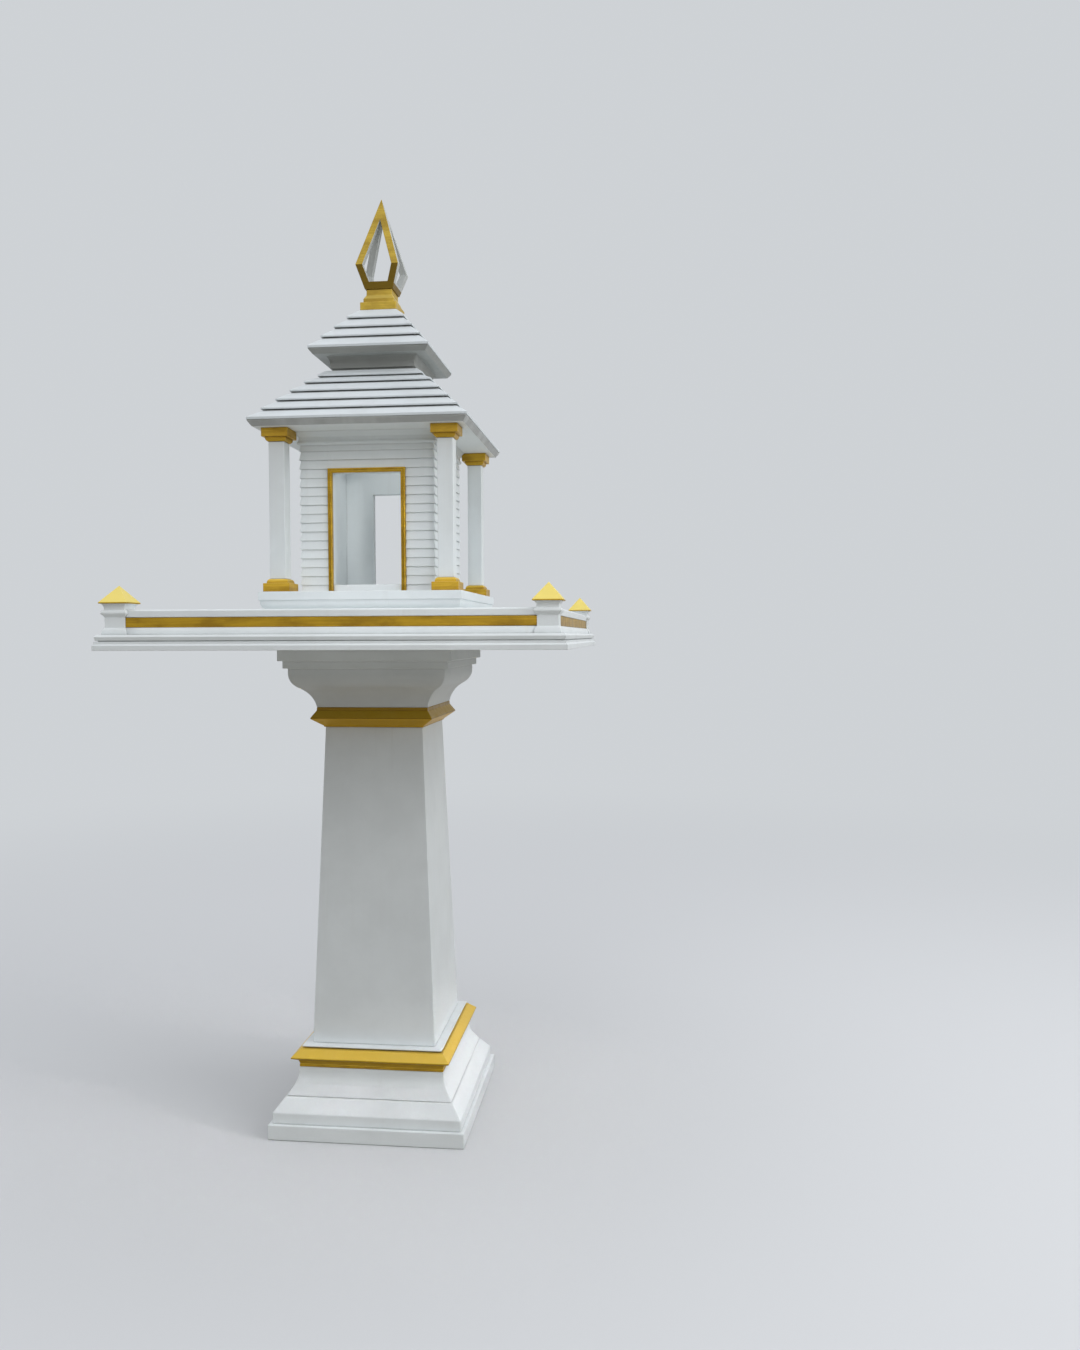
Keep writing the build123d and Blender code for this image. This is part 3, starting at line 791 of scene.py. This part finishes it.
def cast_run(outline: np.ndarray, stations: np.ndarray, side: int, mould: Mould) -> Shell:
    """A straight piece along one side of the square: a closed outline carried along it.

    Each outline point gives its distance out from the axis and its height, and each station its
    place along the side, which may differ from point to point where the end is mitred. The whole
    is turned to its side by quarter turns.

    Args:
        outline: Distance out and height of each point, as a closed outline.
        stations: Places along the side, one row for each and one column for each outline point,
            or a single column.
        side: Quarter turns from the front.
        mould: How it is cast.

    Returns:
        The closed surface.
    """
    soft, curved = softened(outline, mould.radius)
    along = np.broadcast_to(stations, (len(stations), len(soft)))
    out = soft[None, :, 0] - mould.inset(along, soft[None, :, 1])
    flat = np.stack([along, -out], axis=-1)
    level = np.broadcast_to(soft[None, :, 1:], (*flat.shape[:2], 1))
    rows = np.concatenate([quarter_turned(flat, side), level], axis=-1)
    return Shell(rows, np.broadcast_to(curved, (len(stations) - 1, len(soft))))


# Pieces


def corner_centres(reach: float) -> list[Plan]:
    """The four places that are a reach out from the axis both ways, in the corners' order."""
    return [(right * reach, back * reach) for right, back in CORNERS.values()]


def add_object(name: str, data: bpy.types.ID) -> bpy.types.Object:
    """Makes an object of a mesh, a lamp or a camera, in the scene.

    Args:
        name: The object's name.
        data: What it is made of.

    Returns:
        The new object.
    """
    thing = bpy.data.objects.new(name, data)
    bpy.context.scene.collection.objects.link(thing)
    return thing


class Paintshop:
    """Every finish's material, built once, and the pieces painted with them."""

    def __init__(self) -> None:
        """Builds the shared effects and the materials."""
        effects = {recipe: effect_group(recipe, numbers) for recipe, numbers in EFFECTS.items()}
        self.materials = {finish: finish.paint.build(finish.material, effects) for finish in Finish}

    def dress(self, node: str, finish: Finish) -> None:
        """Gives a node of the model its finish, in its own material slots.

        Args:
            node: The node's name.
            finish: Its finish.
        """
        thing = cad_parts[node]
        if not thing.material_slots:
            thing.data.materials.append(self.materials[finish])
        for slot in thing.material_slots:
            slot.material = self.materials[finish]
        log.info("%s dressed in %s", node, finish.material)

    def add_piece(self, mesh: bpy.types.Mesh, finishes: Sequence[Finish]) -> bpy.types.Object:
        """Makes a piece of a mesh, which rides on the object's one body.

        Args:
            mesh: The mesh, which has the piece's name.
            finishes: Its finishes, by the material numbers of its faces.

        Returns:
            The piece.
        """
        for finish in finishes:
            mesh.materials.append(self.materials[finish])
        thing = add_object(mesh.name, mesh)
        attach(thing, "root")
        log.info("%s: %d faces in %s", mesh.name, len(mesh.polygons), finishes[0].material)
        return thing

    def add_shells(self, name: str, shells: Sequence[Shell], finish: Finish) -> bpy.types.Object:
        """Makes one piece of one or more shells.

        Args:
            name: The piece's name.
            shells: Its closed surfaces.
            finish: Its finish.

        Returns:
            The piece.
        """
        points, faces, smooth, start = [], [], [], 0
        for shell in shells:
            own_points, own_faces, own_smooth = shell.mesh_data(start)
            points.append(own_points)
            faces += own_faces
            smooth.append(own_smooth)
            start += len(own_points)
        mesh = bpy.data.meshes.new(name)
        mesh.from_pydata(np.concatenate(points), [], faces)
        shape = bmesh.new()
        shape.from_mesh(mesh)
        bmesh.ops.recalc_face_normals(shape, faces=shape.faces)
        shape.to_mesh(mesh)
        shape.free()
        mesh.polygons.foreach_set("use_smooth", np.concatenate(smooth))
        return self.add_piece(mesh, [finish])


@dataclass
class Assembly:
    """A group of pieces that are set together, and the materials for them."""

    paint: Paintshop

    def show(self, node: str, shells: Sequence[Shell], finish: Finish, ending: str = "cast") -> None:
        """Makes a piece of shells, and shows it in its node's place."""
        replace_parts(self.paint.add_shells(f"{node}_{ending}", shells, finish), node)

    def cast(
        self, nodes: dict[str, Finish], mould: Mould, centres: Sequence[Plan] = ((0.0, 0.0),)
    ) -> None:
        """Makes pieces again that are square at every height, each from its node's half profile.

        Args:
            nodes: The nodes' names, with their finishes.
            mould: How they are cast.
            centres: The middles of the squares that each node holds.
        """
        for number, (node, finish) in enumerate(nodes.items()):
            seed = SEED_STEP * number
            shells = [
                cast_square(half_profile(node, centre), mould.numbered(seed + place), centre)
                for place, centre in enumerate(centres)
            ]
            self.show(node, shells, finish)


# Sub-assemblies


@dataclass
class Pedestal(Assembly):
    """Slab, skirt, cove, gold band, ledge, tapered shaft, gold neck band and capital."""

    nodes: dict[str, Finish] = field(default_factory=lambda: {
        "base_slab": Finish.CEMENT,
        "base_skirt": Finish.CEMENT,
        "base_cove": Finish.CEMENT,
        "base_gold_band": Finish.GOLD,
        "base_ledge": Finish.CEMENT,
        "pedestal_shaft": Finish.CEMENT,
        # The neck band takes a darker gold as painted shade under the terrace.
        "neck_gold_band": Finish.SHADED_GOLD,
        "pedestal_capital": Finish.CEMENT,
    })
    mould: Mould = Mould(0.0022, 0.001)

    def build(self) -> None:
        """Builds the pedestal."""
        self.cast(self.nodes, self.mould)


@dataclass
class Terrace(Assembly):
    """Terrace slab and deck, four parapet runs with gold strips, and capped corner posts."""

    slab_bevel: Plan = (0.0035, 0.004)
    slab_upright: float = 0.006
    slab_rise: float = 0.0015
    nosing_bevel: Plan = (0.004, 0.0055)
    nosing_inset: float = 0.0013
    nosing_lean: float = 0.0028
    groove: Plan = (0.0075, 0.004)
    post_centre: float = 0.55
    post_width: float = 0.054
    rail_lap: float = 0.004
    rail_stations: int = 26
    rail_seed: int = 60
    face: float = 0.574
    thickness: float = 0.040
    foot: float = 1.430
    head: float = 1.493
    strip_foot: float = 1.448
    strip_head: float = 1.474
    recess: float = 0.006
    strip_thickness: float = 0.004
    strip_seat: float = 0.001
    strip_play: float = 0.0004
    edge_cut: float = 0.003
    foot_spread: float = 0.0065
    foot_lip: float = 0.002
    foot_swell: float = 0.002
    flat_mould: Mould = Mould(0.0009, 0.0008, 30)
    rail_mould: Mould = Mould(0.0015, 0.0007)
    strip_mould: Mould = Mould(0.001, 0.0007)
    post_mould: Mould = Mould(0.0015, 0.0004, 4)
    cap_mould: Mould = Mould(0.0014, 0.0004, 4)

    def slab_profile(self) -> np.ndarray:
        """The slab's half profile: an upright face, then a bevel back to a second upright above it.

        Its head runs up a little way into the deck's groove.

        Returns:
            Half width and height of each point, from foot to head.
        """
        (_, _, foot), (edge, _, seat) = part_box("terrace_slab")
        head = seat + self.slab_rise
        back, rise = self.slab_bevel
        turn = head - self.slab_upright
        return np.array([(edge, foot), (edge, turn - rise), (edge - back, turn), (edge - back, head)])

    def deck_profile(self) -> np.ndarray:
        """The deck's half profile: a shadow groove, a face that leans out, and a bevelled nosing.

        Returns:
            Half width and height of each point, from foot to head.
        """
        (_, _, foot), (reach, _, head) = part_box("terrace_deck")
        edge = reach - self.nosing_inset
        depth, height = self.groove
        back, rise = self.nosing_bevel
        return np.array([
            (edge - depth, foot),
            (edge - depth, foot + height),
            (edge - self.nosing_lean, foot + height),
            (edge, head - rise),
            (edge - back, head),
        ])

    def rail_outline(self) -> np.ndarray:
        """The parapet's outline: a spreading foot, a recess for the gold strip, a bevelled top.

        Returns:
            Distance out and height of each point.
        """
        recess, back = self.face - self.recess, self.face - self.thickness
        spread, lip = self.face + self.foot_spread, self.foot + self.foot_lip
        return np.array([
            (back, self.foot),
            (spread, self.foot),
            *bowed((spread, lip), (self.face, self.strip_foot), self.foot_swell),
            (recess, self.strip_foot),
            (recess, self.strip_head),
            (self.face, self.strip_head),
            (self.face, self.head - self.edge_cut),
            (self.face - self.edge_cut, self.head),
            (back + self.edge_cut, self.head),
            (back, self.head - self.edge_cut),
        ])

    def strip_outline(self) -> np.ndarray:
        """The gold strip's outline: a flat bar, let a little way into the floor of the recess.

        Returns:
            Distance out and height of each point.
        """
        floor = self.face - self.recess
        back, front = floor - self.strip_seat, floor + self.strip_thickness
        foot, head = self.strip_foot + self.strip_play, self.strip_head - self.strip_play
        return np.array([(back, foot), (front, foot), (front, head), (back, head)])

    def build(self) -> None:
        """Builds the terrace."""
        flat = {"terrace_slab": self.slab_profile(), "terrace_deck": self.deck_profile()}
        for number, (node, profile) in enumerate(flat.items()):
            mould = self.flat_mould.numbered(SEED_STEP * number)
            self.show(node, [cast_square(profile, mould)], Finish.CEMENT)
        reach = self.post_centre - self.post_width / 2 + self.rail_lap
        stations = np.linspace(-reach, reach, self.rail_stations)[:, None]
        strips = []
        for side, quarter in SIDES.items():
            seed = self.rail_seed + quarter
            rail = cast_run(self.rail_outline(), stations, quarter, self.rail_mould.numbered(seed))
            self.show(f"parapet_{side}", [rail], Finish.CEMENT)
            strips.append(
                cast_run(self.strip_outline(), stations, quarter, self.strip_mould.numbered(seed)))
        # The strips take a darker gold as painted shade of the recess they sit in.
        self.show("parapet_gold_strips", strips, Finish.RECESS_SHADED_GOLD, "set")
        centres = corner_centres(self.post_centre)
        for name, centre in zip(CORNERS, centres):
            self.cast({f"corner_post_{name}": Finish.CEMENT}, self.post_mould, [centre])
        # The caps take a gold with a stronger painted highlight on faces turned up.
        self.cast({"corner_post_caps": Finish.HIGHLIT_GOLD}, self.cap_mould, centres)


@dataclass
class Porch(Assembly):
    """The house's plinth, and on it four square columns between gold bases and gold capitals."""

    centre: float = 0.238
    plinth_mould: Mould = Mould()
    column_mould: Mould = Mould(0.0022, 0.0006, 4)
    trim_mould: Mould = Mould(0.0014, 0.0004, 5)

    def build(self) -> None:
        """Builds the porch."""
        self.cast({"house_plinth": Finish.CEMENT}, self.plinth_mould)
        centres = corner_centres(self.centre)
        for name, centre in zip(CORNERS, centres):
            self.cast({f"column_{name}": Finish.CEMENT}, self.column_mould, [centre])
        trim = {"column_bases": Finish.RICH_GOLD, "column_capitals": Finish.RICH_GOLD}
        self.cast(trim, self.trim_mould, centres)


@dataclass
class Cella(Assembly):
    """The walled room: plain walls from the model, lapped boards, cornice and gold door frame."""

    half: float = 0.190
    let_in: float = 0.002
    board_pitch: float = 0.0252
    first_lap: float = 1.570
    boards_foot: float = 1.549
    boards_head: float = 1.968
    lap_depth: float = 0.0054
    top_depth: float = 0.0010
    overlap: float = 0.0008
    slack: float = 0.001
    board_stations: int = 15
    wall_seeds: int = 100
    course_seeds: int = 3
    proud_steps: int = 5
    door_half: float = 0.099
    door_head: float = 1.886
    cornice_foot: float = 1.965
    cornice_head: float = 2.002
    bead_ends: Span = (0.004, 0.006)
    bead_height: float = 0.0125
    bead_swell: float = 0.005
    fillet_head: float = 0.0225
    splay: float = 0.018
    openings: dict[str, Plan] = field(default_factory=lambda: {
        "front": (0.1065, 1.8970), "right": (0.0, 0.0), "back": (0.080, 1.8720), "left": (0.0, 0.0),
    })
    frame_section: Sequence[Plan] = (
        (0.0, -0.001), (0.0, 0.0122), (0.0038, 0.0139), (0.0052, 0.0108),
        (0.0072, 0.0108), (0.0086, 0.0136), (0.0122, 0.0120), (0.0130, -0.001),
    )
    plain: Sequence[str] = (
        "front_wall_left", "front_wall_right", "front_wall_head", "left_wall", "right_wall",
        "back_wall_left", "back_wall_right", "back_wall_head", "cella_floor",
    )
    board_mould: Mould = Mould(0.0011, 0.0006)
    cornice_mould: Mould = Mould(0.0010, 0.0004, 10, 31)

    def board(self, foot: float, head: float, ends: Span, side: int, mould: Mould) -> Shell:
        """One lapped board: a thin wedge, thickest at its foot, carried along the wall.

        An end at the wall's corner is mitred: there the place along the wall is the distance out
        from the axis, so that two boards meet on the corner's diagonal.

        Args:
            foot: The height of the board's lower edge.
            head: The height of its upper edge.
            ends: The places along the wall of its two ends, beyond the half width where mitred.
            side: Quarter turns from the front.
            mould: How it is made, which also sets how proud the board stands.

        Returns:
            The closed surface.
        """
        inner, lapped = self.half - self.let_in, head + self.overlap
        proud = self.lap_depth - mould.depth * (mould.seed % self.proud_steps) / self.proud_steps
        outline = np.array([
            (inner, foot),
            (self.half + proud, foot),
            (self.half + self.top_depth, lapped),
            (inner, lapped),
        ])
        out = softened(outline, mould.radius)[0][:, 0]
        left = -out if ends[0] < -self.half else np.full_like(out, ends[0])
        right = out if ends[1] > self.half else np.full_like(out, ends[1])
        t = np.linspace(0, 1, self.board_stations)[:, None]
        return cast_run(outline, left * (1 - t) + right * t, side, mould)

    def boards(self, side: int, gap: float, clear: float) -> list[Shell]:
        """All the boards of one wall, split beside its opening.

        Args:
            side: Quarter turns from the front.
            gap: Half the width left open, or 0 for a full wall.
            clear: The height from which boards run over the opening.

        Returns:
            The boards.
        """
        laps = np.arange(self.first_lap, self.boards_head, self.board_pitch)
        feet = np.concatenate([[self.boards_foot], laps])
        heads = np.append(laps, self.boards_head)
        beyond = self.half + 1.0
        shells = []
        for number, (foot, head) in enumerate(zip(feet, heads)):
            split = gap > 0 and foot < clear - self.slack
            spans = [(-beyond, -gap), (gap, beyond)] if split else [(-beyond, beyond)]
            for place, ends in enumerate(spans):
                seed = self.wall_seeds * side + self.course_seeds * number + place
                shells.append(self.board(foot, head, ends, side, self.board_mould.numbered(seed)))
        return shells

    def cornice(self) -> np.ndarray:
        """The moulding under the eaves: a bead, a fillet and a splay, let into the wall behind.

        The bead stands out from its chord as a parabola.

        Returns:
            Its closed outline: half width and height of each point.
        """
        inner, foot, head = self.half - self.let_in, self.cornice_foot, self.cornice_head
        low, high = self.half + self.bead_ends[0], self.half + self.bead_ends[1]
        return np.array([
            (inner, foot),
            *bowed((low, foot), (high, foot + self.bead_height), self.bead_swell),
            (high, foot + self.fillet_head),
            (self.half + self.splay, head),
            (inner, head),
        ])

    def frame_shell(self) -> Shell:
        """The door frame: a double-ridged outline carried up, over and down, mitred at the head.

        Each outline point has a distance out from the opening's edge and a depth proud of the
        wall. Its path goes up at that distance beside the door, over at that distance above its
        head, and down again.

        Returns:
            The closed surface.
        """
        soft, curved = softened(np.array(self.frame_section), self.board_mould.radius)
        out, proud = soft.T
        beside, above = self.door_half + out, self.door_head + out
        foot = np.full_like(out, self.boards_foot)
        front = -(self.half + proud)
        path = ((-beside, foot), (-beside, above), (beside, above), (beside, foot))
        rows = np.stack([np.stack([across, front, height], axis=1) for across, height in path])
        return Shell(rows, np.broadcast_to(curved, (len(path) - 1, len(soft))))

    def build(self) -> None:
        """Builds the cella."""
        for node in self.plain:
            self.paint.dress(node, Finish.CEMENT)
        for side, (gap, clear) in self.openings.items():
            self.paint.add_shells(f"siding_{side}", self.boards(SIDES[side], gap, clear), Finish.SIDING)
        self.show("wall_cornice", [cast_ring(self.cornice(), self.cornice_mould)], Finish.CEMENT)
        self.show("door_frame", [self.frame_shell()], Finish.GOLD, "set")


@dataclass
class Roofs(Assembly):
    """Two hipped roofs of lapped courses, their eave slabs, and the moulded neck between."""

    nodes: dict[str, Finish] = field(default_factory=lambda: {
        # The lower eave slab takes a whiter soffit as painted light and dark leaning edges as painted
        # shade; the neck and upper eave slab take a grey white as painted shade.
        "lower_eave_slab": Finish.EAVES_LIGHT_AND_SHADE,
        "roof_neck": Finish.SHADED_CEMENT,
        "upper_eave_slab": Finish.SHADED_CEMENT,
    })
    lapped: Sequence[str] = ("lower_roof", "upper_roof")
    gap: float = 0.0025
    gap_depth: float = 0.005
    lapped_seed: int = 40
    mould: Mould = Mould(0.0010, 0.0011, 22)

    def courses(self, node: str) -> np.ndarray:
        """A roof's half profile, with a gap cut in under each lip.

        Where the profile steps out level under a lip, it first goes the gap's depth further in
        and the gap's height up, so that the lip is thinner by the gap.

        Args:
            node: The roof's node.

        Returns:
            Half width and height of each point, from foot to head.
        """
        profile = half_profile(node)
        out, up = np.diff(profile, axis=0).T
        laps = np.flatnonzero((out > WELD) & (np.abs(up) < 2 * WELD))
        inner = profile[laps] - (self.gap_depth, 0.0)
        profile[laps + 1, 1] += self.gap
        cut = np.stack([inner, inner + (0.0, self.gap)], axis=1).reshape(-1, 2)
        return np.insert(profile, np.repeat(laps + 1, 2), cut, axis=0)

    def build(self) -> None:
        """Builds the roofs."""
        self.cast(self.nodes, self.mould)
        for number, node in enumerate(self.lapped):
            mould = self.mould.numbered(self.lapped_seed + SEED_STEP * number)
            self.show(node, [cast_square(self.courses(node), mould)], Finish.ROOF)


@dataclass
class Finial(Assembly):
    """The stepped gold base and the open bud: gold outside at front and back, white within in painted
    shade.
    """

    sill: float = 2.460
    radius: float = 0.0012
    level: float = 0.5
    overhang: float = -0.1
    finishes: Sequence[Finish] = (Finish.PALE_GOLD, Finish.SHADED_BUD_WHITE, Finish.SHADED_UNDERSIDE_GOLD)
    base_mould: Mould = Mould(0.0014, 0.0004, 6)

    def finish(self, face: bmesh.types.BMFace) -> Finish:
        """The finish of one face of the bud, by where it is and which way it looks.

        Args:
            face: The face.

        Returns:
            Its finish: gold outside at front and back and under the sill, else a grey white as painted
                shade.
        """
        middle, normal = face.calc_center_median(), face.normal
        outside = normal.y * middle.y > 0 and abs(normal.y) > abs(normal.x)
        below = middle.z < self.sill and normal.z < self.level
        # Faces within and on the sides take a grey white as painted shade.
        if not outside and not below:
            return Finish.SHADED_BUD_WHITE
        # Faces that look down take a dark brown gold as painted shade.
        return Finish.SHADED_UNDERSIDE_GOLD if normal.z < self.overhang else Finish.PALE_GOLD

    def bud(self) -> bpy.types.Object:
        """The bud, from its node's own solid, welded, cut at the sill and edged by colour.

        Returns:
            The bud.
        """
        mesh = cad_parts["finial_bud"].data.copy()
        mesh.name = "finial_bud_cast"
        mesh.materials.clear()
        shape = bmesh.new()
        shape.from_mesh(mesh)
        bmesh.ops.remove_doubles(shape, verts=shape.verts, dist=WELD)
        bmesh.ops.dissolve_limit(shape, angle_limit=GENTLE_TURN, verts=shape.verts, edges=shape.edges)
        everything = [*shape.verts, *shape.edges, *shape.faces]
        bmesh.ops.bisect_plane(shape, geom=everything, plane_co=(0, 0, self.sill), plane_no=(0, 0, 1))
        for face in shape.faces:
            face.material_index = self.finishes.index(self.finish(face))
        crisp = [edge for edge in shape.edges if edge.calc_face_angle(0) > SHARP_TURN / 2]
        bmesh.ops.bevel(
            shape, geom=crisp, offset=self.radius, segments=2, profile=0.5, affect="EDGES",
            clamp_overlap=True, material=-1)
        shape.to_mesh(mesh)
        shape.free()
        mesh.polygons.foreach_set("use_smooth", np.zeros(len(mesh.polygons), bool))
        return self.paint.add_piece(mesh, self.finishes)

    def build(self) -> None:
        """Builds the finial."""
        self.cast({"finial_base": Finish.PALE_GOLD}, self.base_mould)
        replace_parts(self.bud(), "finial_bud")


# Studio


@dataclass(frozen=True)
class Lamp:
    """A soft lamp: where it stands, what it looks at, its width and height, and its spread."""

    name: str
    place: Place
    aim: Place
    size: Plan
    watts: float
    spread: float = 180.0

    def build(self) -> None:
        """Puts the lamp in the scene."""
        data = bpy.data.lights.new(self.name, "AREA")
        data.shape = "RECTANGLE"
        data.size, data.size_y = self.size
        data.energy = self.watts
        data.spread = np.radians(self.spread)
        thing = add_object(self.name, data)
        thing.location = self.place
        thing.rotation_euler = (Vector(self.aim) - Vector(self.place)).to_track_quat("-Z", "Y").to_euler()


@dataclass(frozen=True)
class Studio:
    """Plain pale floor, soft light and the camera at the photograph's angle."""

    place: Place = (0.8015, -3.0937, 1.4234)
    yaw: float = 6.146
    pitch: float = -2.139
    roll: float = -0.217
    focal_pixels: float = 1046.7
    image_height: float = 1350.0
    sensor: float = 36.0
    backdrop: Colour = (0.62, 0.645, 0.67)
    floor: Colour = (0.60, 0.61, 0.62)
    bounce: Colour = (0.259, 0.241, 0.208)
    sky_tint: Colour = (0.97, 0.99, 1.03)
    sky_low: float = 0.14
    sky_high: float = 1.20
    floor_reach: float = 60.0
    floor_level: float = -0.0004
    fade: Span = (1.5, 7.0)
    lamps: Sequence[Lamp] = (
        Lamp("key", (5.2, -1.4, 3.9), (0, 0, 1.5), (4.0, 4.0), 150.0),
        Lamp("panel", (-0.8, -5.0, 5.2), (0, 0, 1.4), (4.0, 4.0), 40.0),
        Lamp("porch", (1.60, -2.9, 1.60), (0, -0.2, 1.72), (0.3, 0.3), 0.115, 10.0),
        Lamp("foot", (3.85, -1.2, 1.1), (0, 0, 0.06), (1.4, 0.12), 0.50, 10.0),
        Lamp("terrace", (0.35, -4.6, 1.47), (0, -0.6, 1.48), (1.6, 0.05), 0.10, 6.0),
        Lamp("room", (0, 0, 1.985), (0, 0, 1.6), (0.22, 0.22), 0.22),
    )

    def camera(self) -> None:
        """Sets the camera: the view axis from yaw and pitch, then turned by the roll."""
        yaw, pitch, roll = np.radians([self.yaw, self.pitch, self.roll])
        forward = np.array([-np.sin(yaw) * np.cos(pitch), np.cos(yaw) * np.cos(pitch), np.sin(pitch)])
        right = np.array([np.cos(yaw), np.sin(yaw), 0.0])
        up = np.cross(right, forward)
        across = np.cos(roll) * right + np.sin(roll) * up
        upward = np.cos(roll) * up - np.sin(roll) * right
        turn = Matrix(np.stack([across, upward, -forward], axis=1).tolist()).to_4x4()
        data = bpy.data.cameras.new("camera")
        data.sensor_width = self.sensor
        data.lens = self.focal_pixels / self.image_height * self.sensor
        view = add_object("camera", data)
        view.matrix_world = Matrix.Translation(self.place) @ turn
        bpy.context.scene.camera = view

    def sky(self) -> None:
        """An even backdrop to look at, and a sky brighter overhead to light by."""
        world = bpy.data.worlds.new("studio")
        bpy.context.scene.world = world
        graph = graph_of(world)
        direction = graph.add("TexCoord").outputs["Generated"]
        height = graph.add("SeparateXYZ", {0: direction}).outputs["Z"]
        level = graph.ramp(height, 0.0, 1.0, self.sky_low, self.sky_high)
        light = graph.add("Background", {"Color": (*self.sky_tint, 1), "Strength": level})
        wall = graph.add("Background", {"Color": (*self.backdrop, 1), "Strength": 1.0})
        both = graph.add("MixShader", {0: graph.seen(), 1: light.outputs[0], 2: wall.outputs[0]})
        graph.add("OutputWorld", {"Surface": both.outputs[0]})

    def ground(self) -> None:
        """A wide pale floor that fades into the backdrop far from the object."""
        mesh = bpy.data.meshes.new("floor")
        corners = [(*plan, self.floor_level) for plan in corner_centres(self.floor_reach)]
        mesh.from_pydata(corners, [], [(0, 1, 2, 3)])
        material = bpy.data.materials.new("floor")
        graph = graph_of(material)
        point = graph.add("TexCoord").outputs["Object"]
        distance = graph.add("VectorMath", {0: point}, operation="LENGTH").outputs["Value"]
        near = graph.add("BsdfDiffuse", {"Color": (*self.floor, 1)})
        haze = graph.add("Emission", {"Color": (*self.backdrop, 1), "Strength": 1.0})
        far = graph.ramp(distance, *self.fade)
        shown = graph.add("MixShader", {0: far, 1: near.outputs[0], 2: haze.outputs[0]})
        dull = graph.add("BsdfDiffuse", {"Color": (*self.bounce, 1)})
        both = graph.add("MixShader", {0: graph.seen(), 1: dull.outputs[0], 2: shown.outputs[0]})
        graph.add("OutputMaterial", {"Surface": both.outputs[0]})
        mesh.materials.append(material)
        add_object("floor", mesh)

    def build(self) -> None:
        """Builds the studio."""
        self.camera()
        self.sky()
        self.ground()
        for lamp in self.lamps:
            lamp.build()
        bpy.context.scene.view_settings.view_transform = "Standard"


def main() -> None:
    """Builds the house from the ground up, then the studio round it."""
    logging.basicConfig(level=logging.INFO, format="%(message)s")
    paint = Paintshop()
    for assembly in (Pedestal, Terrace, Porch, Cella, Roofs, Finial):
        assembly(paint).build()
    Studio().build()


if __name__ == "__main__":
    main()
